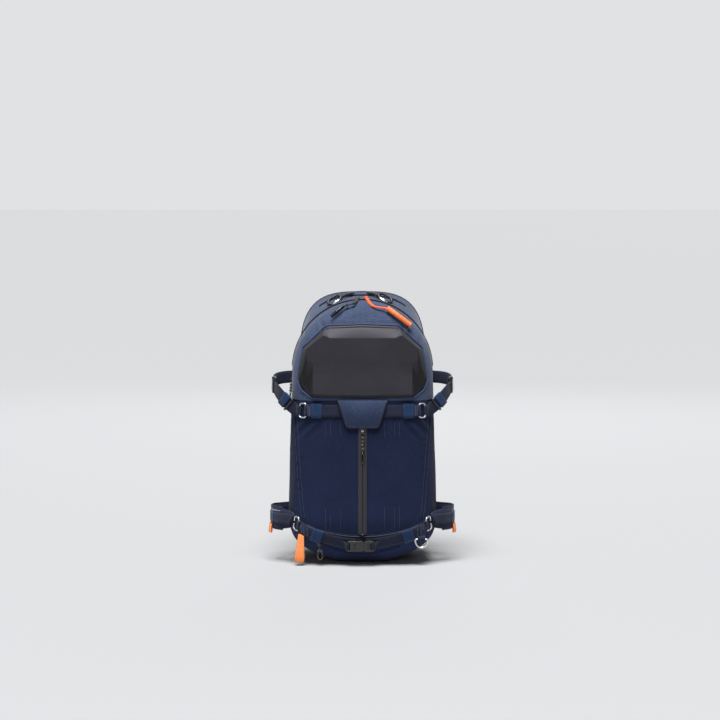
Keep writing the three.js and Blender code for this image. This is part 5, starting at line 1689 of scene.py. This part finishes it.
crest_rows = [
    [crest_place(x, y, 0.0004) for y in (0.0035, 0.0078, 0.012)] for x in np.linspace(-0.088, 0.088, 60)
]
main_tape = tape_on_rows("main_zip_cloth_tape", crest_rows, 0.0043, zip_tape)
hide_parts("main_zip_tape")
main_teeth = zip_coil("main_zip_coil", crest_rows)
ride_all("pack", "zip_tape", main_tape, main_teeth)

flank_rows = []
for z in np.linspace(0.236, 0.384, 50):
    row = []
    for y in (-0.0335, -0.03, -0.0265):
        row.append((Vector((-flank_x(y, z) - 0.0005, y, z)), Vector((-1, 0, 0))))
    flank_rows.append(row)
side_tape = tape_on_rows("side_zip_cloth_tape", flank_rows, 0.0035, zip_tape)
side_teeth = zip_coil("side_zip_coil", flank_rows)
ride_all("pack", "zip_tape", side_tape, side_teeth)

BASE_ZIP_R, BASE_ZIP_LOW = 0.18, 0.024
base_rows = []
for a in np.radians(np.linspace(-31, 24, 50)):
    row = []
    for r in (BASE_ZIP_R + 0.0035, BASE_ZIP_R, BASE_ZIP_R - 0.0035):
        row.append(on_front(r * math.sin(a), BASE_ZIP_LOW + BASE_ZIP_R - r * math.cos(a), 0.0003))
    base_rows.append(row)
base_tape = tape_on_rows("base_zip_cloth_tape", base_rows, 0.0035, base_nylon_painted_fill)
base_teeth = zip_coil("base_zip_coil", base_rows, 0.0012)
ride_all("pack", "zip_tape", base_tape, base_teeth)

# The middle zip: two film lips that meet, sewn to the pocket, with a moulded end at the top.
CENTRE_HALF = 0.009


def lip(k):
    """One film lip, from the middle line out to the left or the right."""

    def place(t, a, h):
        z = CENTRE_ZIP_LOW + (CENTRE_ZIP_HIGH - CENTRE_ZIP_LOW) * t
        x = k * (0.00025 + (CENTRE_HALF - 0.00025) * (a * k + 1) / 2)
        crown = 0.0007 * math.exp(-((x / 0.003) ** 2))
        return on_front(x, z, 0.0001 + h * (0.0009 + crown))[0]

    return place


for side, k in SIDES:
    centre_lip = strip("centre_zip_lip_" + side, lip(k), 90, CENTRE_HALF, film)
    ride_all("pack", "zip_tape", centre_lip)
centre_seam = [front_line([(k * 0.0078, 0.068), (k * 0.0078, 0.274)], 0.0011, 70) for k in (-1, 1)]
sewn(
    "centre_zip_stitches", centre_seam, "pack", "zip_tape", black_thread, 0.003, (0.0022, 0.0006, 0.0005)
)
centre_end = tube(
    "centre_zip_end",
    [on_front(0, z, 0.0012)[0] for z in (0.0625, 0.064, 0.067)],
    [0.003, 0.0045, 0.0048], film, 12, flat=0.8,
)
# A moulded hood covers the slider when the zip is shut.
centre_hood = tube(
    "centre_zip_hood",
    [on_front(0, z, 0.0014)[0] for z in (0.2735, 0.2745, 0.2775, 0.2805, 0.282)],
    [0.0062, 0.0074, 0.0078, 0.0066, 0.003], film, 20, flat=0.5, up=(0, -1, 0),
)
ride_all("pack", "zip_tape", centre_end, centre_hood)

# Sliders: die-cast and enamelled, black, and one orange. Each has a wire bail for its pull.
black_enamel = toned(
    "black_enamelled_zinc", "#17171b", "#2b2b30", 300.0, Roughness=0.42, Coat_Weight=0.2, Coat_Roughness=0.2
)[0]
orange_enamel = toned(
    "orange_enamelled_zinc", "#ee4a12", "#ff6a26", 300.0, Roughness=0.35, Coat_Weight=0.3, Coat_Roughness=0.15
)[0]

for zipper in ("front_left", "front_right", "main_left", "main_right", "centre", "side", "base"):
    finish = orange_enamel if zipper == "front_right" else black_enamel
    slider = softened(zipper + "_slider", zipper + "_slider_cast", finish, 0.0009)

# Pulls: braided cord with overhand knots, and moulded grips at the ends.
black_braid = thread("black_braided_cord", "#101013", "#34343a")
orange_braid = thread("orange_braided_cord", "#f0480f", "#ff6f2e")
orange_rubber = toned(
    "orange_moulded_rubber", "#ff6a2a", "#ff9352", 240.0, Roughness=0.48, Specular_IOR_Level=0.45
)[0]


def knotted(name, points, radius, material, knots=(), beads=0.0026, swell=0.22):
    """A braided cord: its plaits swell evenly and each knot, a place from 0 to 1, is a lump."""
    path = smooth_path(points, 14)
    steps = np.linalg.norm(np.diff(np.array([tuple(p) for p in path]), axis=0), axis=1)
    along = np.concatenate([[0], np.cumsum(steps)])
    radii = [
        radius * (1 + swell * math.sin(2 * math.pi * d / beads))
        + sum(1.25 * radius * bump(d - k * along[-1], 0.0021) for k in knots)
        for d in along
    ]
    return tube(name, path, radii, material, 10)


def free_cord(piece, points, thick, end, *with_pieces):
    """Measures the length of the line a pull's cord was made on, and keeps nothing; piece and thick are not
    used.
    """
    line = smooth_path(points, 14)
    length = sum((b - a).length for a, b in zip(line, line[1:]))
    tuple(line[0])
    [tuple(p) for p in line]


SEAT_RISE = 0.0034  # a slider's seat over its zip
BAIL_OUT = 0.0052  # its bail stands this far in front


def front_points(*spots):
    """Points over the front, each from x, z and its height."""
    return [on_front(x, z, h)[0] for x, z, h in spots]


def front_hang(angle):
    """Where a pull hangs on a slider of the front zip."""
    r = ARCH_R + SEAT_RISE
    return Vector((r * math.sin(angle), ZIP_Y - BAIL_OUT, ARCH_Z + r * math.cos(angle) + 0.0015))


left_points = [front_hang(-0.065)] + front_points(
    (-0.015, 0.521, 0.0062), (-0.03, 0.516, 0.0072), (-0.037, 0.5125, 0.0074)
)
left_cord = knotted(
    "front_left_cord", left_points, 0.0017, black_braid, (0.1, 0.35, 0.6, 0.85), 0.0036, 0.34
)
left_tag = path_strip(
    "front_left_tag",
    front_points(
        (-0.034, 0.5145, 0.0068), (-0.04, 0.511, 0.0072), (-0.05, 0.503, 0.0074), (-0.0605, 0.4945, 0.0072)
    ),
    (0.6, 0, 0.8), [0.003, 0.0075, 0.009, 0.006], 0.0028, black_acetal,
)
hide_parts("front_left_pull")
ride_all("front_left_pull", "pull_cord", left_cord, left_tag)
free_cord(left_cord, left_points, 0.004, "fitting", left_tag)

right_points = [front_hang(0.05)] + front_points(
    (0.02, 0.517, 0.0036), (0.042, 0.511, 0.006), (0.05, 0.5075, 0.0082)
)
right_cord = knotted(
    "front_right_cord", right_points, 0.0018, orange_braid, (0.12, 0.25, 0.38, 0.5), 0.004, 0.2
)
grip_ends = front_points((0.047, 0.5097, 0.0083), (0.07, 0.494, 0.0083), (0.0925, 0.4767, 0.0083))
grip_line = smooth_path(grip_ends, 24)
# The tube's ends are round, and shallow grooves run round it.
grip_radii = []
for i in range(len(grip_line)):
    from_end = min(i, len(grip_line) - 1 - i)
    groove = 0.06 if abs(i - len(grip_line) / 2) % 6 < 0.9 else 0
    grip_radii.append(0.005 * min(1, 0.62 + 0.25 * from_end) * (1 - groove))
right_grip = tube("front_right_grip", grip_line, grip_radii, orange_rubber, 24)
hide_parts("front_right_pull")
ride_all("front_right_pull", "orange_pull", right_cord, right_grip)
free_cord(right_cord, right_points, 0.0041, "fitting", right_grip)

# The top zip's grips are open six-sided frames, with a worn bright edge.
GRIP_HALF, GRIP_HIGH, GRIP_CUT = 0.0148, 0.0078, 0.0058
MAIN_R = 0.202
top_z = crest_place(0, 0.008, 0)[0].z
for side, k, angle, reach_x in (("left", -1, -0.1, -0.057), ("right", 1, 0.06, 0.046)):
    r = MAIN_R + SEAT_RISE
    seat_z = top_z - MAIN_R + r * math.cos(angle)
    hang = Vector((r * math.sin(angle), 0.008 - BAIL_OUT, seat_z + 0.002))
    middle = crest_place(reach_x, -0.024, 0.006)[0]
    away = (crest_place(reach_x - 0.013 * k, -0.018, 0.006)[0] - middle).normalized()
    near = middle + away * (GRIP_HALF - 0.0005)
    grip_out = Vector((0.2 * k, -0.72, 0.68)).normalized()
    grip_x = (-away + grip_out * away.dot(grip_out)).normalized()
    grip_y = grip_out.cross(grip_x)
    w, h, c = GRIP_HALF, GRIP_HIGH, GRIP_CUT
    corners = [
        Vector(p)
        for p in (
            (w, h - c), (w - c, h), (c - w, h), (-w, h - c), (-w, c - h), (c - w, -h), (w - c, -h), (w, c - h)
        )
    ]
    frame_line = []
    for a, b in zip(corners, corners[1:] + corners[:1]):
        bar_line = [a.lerp(b, t) for t in (0.12, 0.5, 0.88)]
        frame_line += [middle + grip_x * p.x + grip_y * p.y for p in bar_line]
    grip = tube(f"main_{side}_grip", frame_line, 0.0029, film, 10, closed=True, up=grip_out)
    low_way = -1 if (grip_y * h).z > 0 else 1
    bar = tube(
        f"main_{side}_grip_sleeve",
        [middle + grip_x * t + grip_y * (low_way * h) for t in (-0.0094, -0.009, 0.009, 0.0094)],
        [0.0028, 0.0034, 0.0034, 0.0028], polished_wire, 14, up=grip_out,
    )
    half_way = Vector(((hang.x + near.x) / 2, -0.006, (hang.z + near.z) / 2 + 0.002))
    cord_knots = (0.08, 0.22, 0.42, 0.58, 0.78, 0.94)
    cord = knotted(
        f"main_{side}_cord", [hang, half_way, near], 0.0019, black_braid, cord_knots, 0.004, 0.32
    )
    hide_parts(f"main_{side}_pull")
    ride_all(f"main_{side}_pull", "pull_cord", cord, grip, bar)
    free_cord(cord, [hang, half_way, near], 0.005, "fitting", grip, bar)

CENTRE_SLIDER_Z = 0.268
centre_points = front_points(
    (0, CENTRE_SLIDER_Z - 0.0067, 0.0049),
    *[(0.0006 * (-1) ** i, CENTRE_SLIDER_Z - d, 0.0036) for i, d in enumerate((0.014, 0.022, 0.03, 0.04))],
)
centre_cord = knotted("centre_cord", centre_points, 0.0016, black_braid, (0.1, 0.32, 0.54, 0.78))
loop_turns = [math.radians(90 + a) for a in range(0, 360, 20)]
loop_mid = on_front(0, CENTRE_SLIDER_Z - 0.0505, 0.0036)[0]
centre_ring = tube(
    "centre_loop",
    [loop_mid + Vector((0.0032 * math.cos(a), 0, 0.0098 * math.sin(a))) for a in loop_turns],
    0.0015, black_acetal, 10, closed=True,
)
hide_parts("centre_pull")
ride_all("centre_pull", "pull_cord", centre_cord, centre_ring)
free_cord(centre_cord, centre_points, 0.0037, "fitting", centre_ring)


def on_side(z, height, back=0.0):
    """A point over the left flank, by the side zip."""
    return Vector((-flank_x(-0.03 + back, z) - height, -0.03 + back, z))


side_cord = knotted(
    "side_cord",
    [on_side(0.3593, 0.0044), on_side(0.35, 0.0042, -0.004), on_side(0.34, 0.0044, -0.009)],
    0.0015, black_braid, (0.15, 0.45, 0.75),
)
side_tag = path_strip(
    "side_tag",
    [on_side(0.343, 0.0044, -0.008), on_side(0.338, 0.0044, -0.0095), on_side(0.326, 0.0044, -0.012)],
    (0, 1, 0), [0.003, 0.0075, 0.006], 0.003, black_acetal,
)
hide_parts("side_pull")
ride_all("side_pull", "pull_cord", side_cord, side_tag)

base_x = -0.085
base_angle = math.asin(base_x / BASE_ZIP_R)
base_z = BASE_ZIP_LOW + BASE_ZIP_R - BASE_ZIP_R * math.cos(base_angle)
base_seat = on_front(base_x, base_z, 0.0029)[0]
loop_low = [
    base_seat + Vector((a, -0.002, -b))
    for a, b in (
        (0, 0.0078), (-0.002, 0.014), (-0.004, 0.021), (-0.003, 0.028), (0.001, 0.0312),
        (0.005, 0.028), (0.0055, 0.021), (0.003, 0.014), (0.0008, 0.0088),
    )
]
base_cord = knotted("base_cord", loop_low, 0.0013, black_braid, (0.14, 0.86), swell=0.12)
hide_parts("base_pull")
ride_all("base_pull", "pull_cord", base_cord)

# ---- Back pad -------------------------------------------------------------------------------------
# Moulded foam under black spacer mesh, with a hollow down the spine and sewn channels across.

# Knitted polyester spacer mesh: a dark three-dimensional knit with round openings 3 mm apart.
spacer_mesh, mesh_tree, mesh_shader = new_material(
    "black_spacer_mesh", Roughness=0.9, Sheen_Weight=0.12, Sheen_Roughness=0.5, Specular_IOR_Level=0.15
)
mesh_uv = add(mesh_tree, "ShaderNodeUVMap", uv_map="UVMap")
mesh_holes = add(
    mesh_tree,
    "ShaderNodeTexVoronoi",
    {"Vector": mesh_uv.outputs["UV"], "Scale": 330.0, "Randomness": 0.12},
    voronoi_dimensions="2D",
)
mesh_open = add(
    mesh_tree,
    "ShaderNodeMapRange",
    {"Value": mesh_holes.outputs["Distance"], "From Min": 0.18, "From Max": 0.42},
)
mesh_tone = add(
    mesh_tree,
    "ShaderNodeMix",
    {"Factor": mesh_open.outputs["Result"], "A": linear("#08080a"), "B": linear("#24252b")},
    data_type="RGBA",
)
mesh_relief = add(
    mesh_tree,
    "ShaderNodeBump",
    {"Height": mesh_open.outputs["Result"], "Strength": 0.5, "Distance": 0.0007},
)
mesh_tree.links.new(mesh_tone.outputs["Result"], mesh_shader.inputs["Base Color"])
mesh_tree.links.new(mesh_relief.outputs["Normal"], mesh_shader.inputs["Normal"])

PAD_LOW, PAD_HIGH, PAD_HALF, PAD_THICK = 0.045, 0.5, 0.104, 0.014
CHANNELS = (0.12, 0.2, 0.28, 0.36, 0.44)
pad_v = 0.5 - 0.5 * np.cos(np.linspace(0, math.pi, 150))
pad_z = PAD_LOW + (PAD_HIGH - PAD_LOW) * pad_v
lower_round = np.clip((pad_z - PAD_LOW) / 0.026, 0, 1)
upper_round = np.clip((PAD_HIGH - pad_z) / 0.075, 0, 1)
lower_cut = 0.024 * (1 - np.sqrt(1 - (1 - lower_round) ** 2))
upper_cut = 0.052 * (1 - np.sqrt(1 - (1 - upper_round) ** 2))
pad_half = PAD_HALF - lower_cut - upper_cut - 0.006 * np.clip((pad_z - 0.07) / 0.3, 0, 1)
pad_u = np.sin(np.linspace(-math.pi / 2, math.pi / 2, 90))
pad_x = pad_half[:, None] * pad_u
from_ends = np.minimum(pad_z - PAD_LOW, PAD_HIGH - pad_z)[:, None]
edge_in = np.minimum(pad_half[:, None] - np.abs(pad_x), from_ends)
crown = np.sqrt(1 - (1 - np.clip(edge_in / 0.016, 0, 1)) ** 2)
channel_bend = 0.012 * (np.abs(pad_x) / 0.1) ** 2
channels = sum(np.exp(-(((pad_z[:, None] - z - channel_bend) / 0.0042) ** 2)) for z in CHANNELS)
spine = np.exp(-((pad_x / 0.013) ** 4))
pad_height = PAD_THICK * crown * (1 - 0.42 * np.clip(channels, 0, 1)) * (1 - 0.55 * spine * crown)
pad_face = np.stack([pad_x, BACK_Y + 0.0006 + pad_height, pad_z[:, None] + 0 * pad_x], -1)
back_pad = sew("back_pad_mesh", pad_face, np.stack([pad_face[..., 0], pad_face[..., 2]], -1), spacer_mesh)
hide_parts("back_pad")
ride_all("pack", "harness_mesh", back_pad)
pad_rim = [Vector((h, BACK_Y + 0.002, z)) for h, z in zip(pad_half, pad_z)]
pad_rim += [Vector((-p.x, p.y, p.z)) for p in reversed(pad_rim)]
pad_binding = tube("back_pad_binding", pad_rim[::2], 0.0019, coated_cord, 8, closed=True)
ride_all("pack", "harness_mesh", pad_binding)

# ---- Shoulder straps and hip belt -----------------------------------------------------------------
# Die-cut foam between spacer mesh and nylon, its edge bound with tape. Webbing runs on from each end.


def pad_loft(name, path, across, widths, thicks, material):
    """A padded band, with a cushion's section and round ends, and the lines of its two edges."""
    points = smooth_path(path, 8)
    count = len(points)
    t = np.linspace(0, 1, count)
    width = np.interp(t, np.linspace(0, 1, len(widths)), widths)
    thick = np.interp(t, np.linspace(0, 1, len(thicks)), thicks)
    turns = np.linspace(0, 2 * math.pi, 40, endpoint=False)
    a = np.sign(np.cos(turns)) * np.abs(np.cos(turns)) ** 0.6
    h = np.sign(np.sin(turns)) * np.abs(np.sin(turns)) ** 0.75
    h = h * (1 - 0.3 * np.exp(-(((np.abs(a) - 0.8) / 0.06) ** 2)))
    rows, uvs, run = [], [], 0.0
    for i in range(count):
        along = heading(points, i)
        side = square_to(across, along)
        out = along.cross(side)
        run += (points[i] - points[i - 1]).length if i else 0.0
        rest = sum((points[j + 1] - points[j]).length for j in range(i, count - 1))
        rounded_end = math.sqrt(1 - (1 - min(1, min(run, rest) / 0.012)) ** 2)
        half_wide = side * (width[i] / 2 * (0.55 + 0.45 * rounded_end))
        half_thick = out * (thick[i] / 2 * (0.25 + 0.75 * rounded_end))
        rows.append([points[i] + half_wide * x + half_thick * y for x, y in zip(a, h)])
        uvs.append([(run, x * width[i] / 2) for x in a])
    grid = np.array([[tuple(p) for p in row] for row in rows])
    ends = [np.repeat(grid[i].mean(0)[None, None], 40, 1) for i in (0, -1)]
    grid = np.concatenate([ends[0], grid, ends[1]])
    uv = np.array([uvs[0], *uvs, uvs[-1]])
    obj = sew(name, grid, uv, material, closed=True)
    solid = bmesh.new()
    solid.from_mesh(obj.data)
    bmesh.ops.recalc_face_normals(solid, faces=solid.faces)
    solid.to_mesh(obj.data)
    solid.free()
    edges = []
    for k in (-1, 1):
        steps = range(3, count - 3)
        sides = [square_to(across, heading(points, i)) for i in steps]
        edges.append([points[i] + side * (k * width[i] / 2 * 0.99) for i, side in zip(steps, sides)])
    return obj, edges


PAD_FACE = BACK_Y + 0.0144
STRAP_Y = PAD_FACE + 0.0054
# The straps' middle lines in millimetres: outwards, back from the pad's face, and up.
SHOULDER = [
    (54, 0, 446), (55, 2, 470), (58, 14, 493), (64, 32, 499), (72, 48, 479),
    (80, 56, 440), (88, 57, 395), (95, 53, 350), (101, 44, 306), (105, 33, 268),
]
SHOULDER_WIDE = [w / 1000 for w in (50, 56, 60, 60, 60, 60, 56, 50, 42, 32)]
SHOULDER_THICK = [0.007] + [0.01] * 5 + [0.008]
HIP_Z = 0.088
HIP = [(80, 5.8), (100, 9), (118, 22), (128, 44), (127, 72), (116, 96)]
HIP_Y = PAD_FACE + 0.126

for side, k in SIDES:
    body = "shoulder_" + side
    path = [Vector((k * x / 1000, STRAP_Y + y / 1000, z / 1000)) for x, y, z in SHOULDER]
    strap, edges = pad_loft(
        f"shoulder_pad_{side}", path, (1, 0, 0), SHOULDER_WIDE, SHOULDER_THICK, spacer_mesh
    )
    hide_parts("shoulder_strap_" + side)
    bindings = [
        tube(f"shoulder_binding_{side}_{i}", e, 0.0019, coated_cord, 8) for i, e in enumerate(edges)
    ]
    # A webbing rail down the strap's outer face carries the chest strap.
    rail_points = smooth_path(path, 8)[30:66]
    rail = []
    for i, p in enumerate(rail_points):
        along = heading(rail_points, i)
        out = along.cross(square_to((1, 0, 0), along))
        out = out if out.y > 0 else -out
        rail.append(p + out * 0.0052)
    rail_web = path_strip(f"shoulder_rail_{side}", rail, (1, 0, 0), 0.0145, 0.0014, webbing_cloth, 1)
    lock = softened("strap_buckle_" + side, f"ladder_lock_{side}", black_acetal, 0.0009)
    ride_all(body, "harness_mesh", strap, *bindings)
    ride_all(body, "navy_webbing", rail_web)

    end, along = path[-1], (path[-1] - path[-2]).normalized()
    start = end + along * (0.025 + 0.0038)
    web_path = [
        start, start + along * 0.012, Vector((k * 0.121, BACK_Y + 0.034, 0.185)),
        Vector((k * 0.13, BACK_Y + 0.014, 0.148)), Vector((k * 0.134, BACK_Y + 0.003, 0.134)),
    ]
    web = path_strip(f"shoulder_web_{side}_cloth", web_path, (1, 0, 0), 0.02, WEB_THICK, webbing_cloth, 8)
    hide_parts("shoulder_web_" + side)
    threaded = path_strip(
        f"ladder_web_{side}",
        [end - along * 0.004, end + along * 0.006, end + along * 0.012, end + along * 0.0155],
        (1, 0, 0), 0.0195, 0.0014, webbing_cloth, 4,
    )
    # Its transform is baked into its mesh; it is put on no body.
    tuple(web_path[0])
    tuple(web_path[-1])
    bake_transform(web)
    ride_all(body, "navy_webbing", threaded)

    chest_y = STRAP_Y + 0.063
    chest = path_strip(
        f"chest_web_{side}",
        [(k * x, chest_y + 0.0008, 0.395) for x in (0.076, 0.0425, 0.009)],
        (0, 0, 1), 0.019, WEB_THICK, webbing_cloth, 6,
    )
    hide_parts("sternum_web_" + side)
    ride_all("sternum_" + side, "navy_webbing", chest)

    wing_body = "hip_" + side
    wing_path = [Vector((k * x / 1000, PAD_FACE + y / 1000, HIP_Z)) for x, y in HIP]
    wing, edges = pad_loft(
        f"hip_pad_{side}", wing_path, UP, [0.08, 0.082, 0.074, 0.062, 0.05], [0.01] * 3, spacer_mesh
    )
    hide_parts("hip_wing_" + side)
    bindings = [tube(f"hip_binding_{side}_{i}", e, 0.0019, coated_cord, 8) for i, e in enumerate(edges)]
    tip, along = wing_path[-1], (wing_path[-1] - wing_path[-2]).normalized()
    inner = 0.076 if k > 0 else 0.07
    start = tip + along * 0.0014
    belt_path = [
        start - along * 0.014, start, start + along * 0.01,
        Vector((k * (inner + 0.014), HIP_Y - 0.004, HIP_Z)),
        Vector((k * inner, HIP_Y - WEB_THICK, HIP_Z)),
        Vector((k * (inner - 0.012), HIP_Y - WEB_THICK, HIP_Z)),
    ]
    belt = path_strip(f"hip_belt_web_{side}", belt_path, (0, 0, 1), 0.036, WEB_THICK, webbing_cloth, 8)
    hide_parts("hip_web_" + side)
    ride_all(wing_body, "harness_mesh", wing, *bindings)
    ride_all(wing_body, "navy_webbing", belt)

for node, piece_name in (
    ("sternum_socket", "chest_buckle_socket"), ("sternum_plug", "chest_buckle_plug"),
    ("hip_socket", "hip_buckle_socket"), ("hip_plug", "hip_buckle_plug"),
):
    half = softened(node, piece_name, black_acetal, 0.0008)

import json
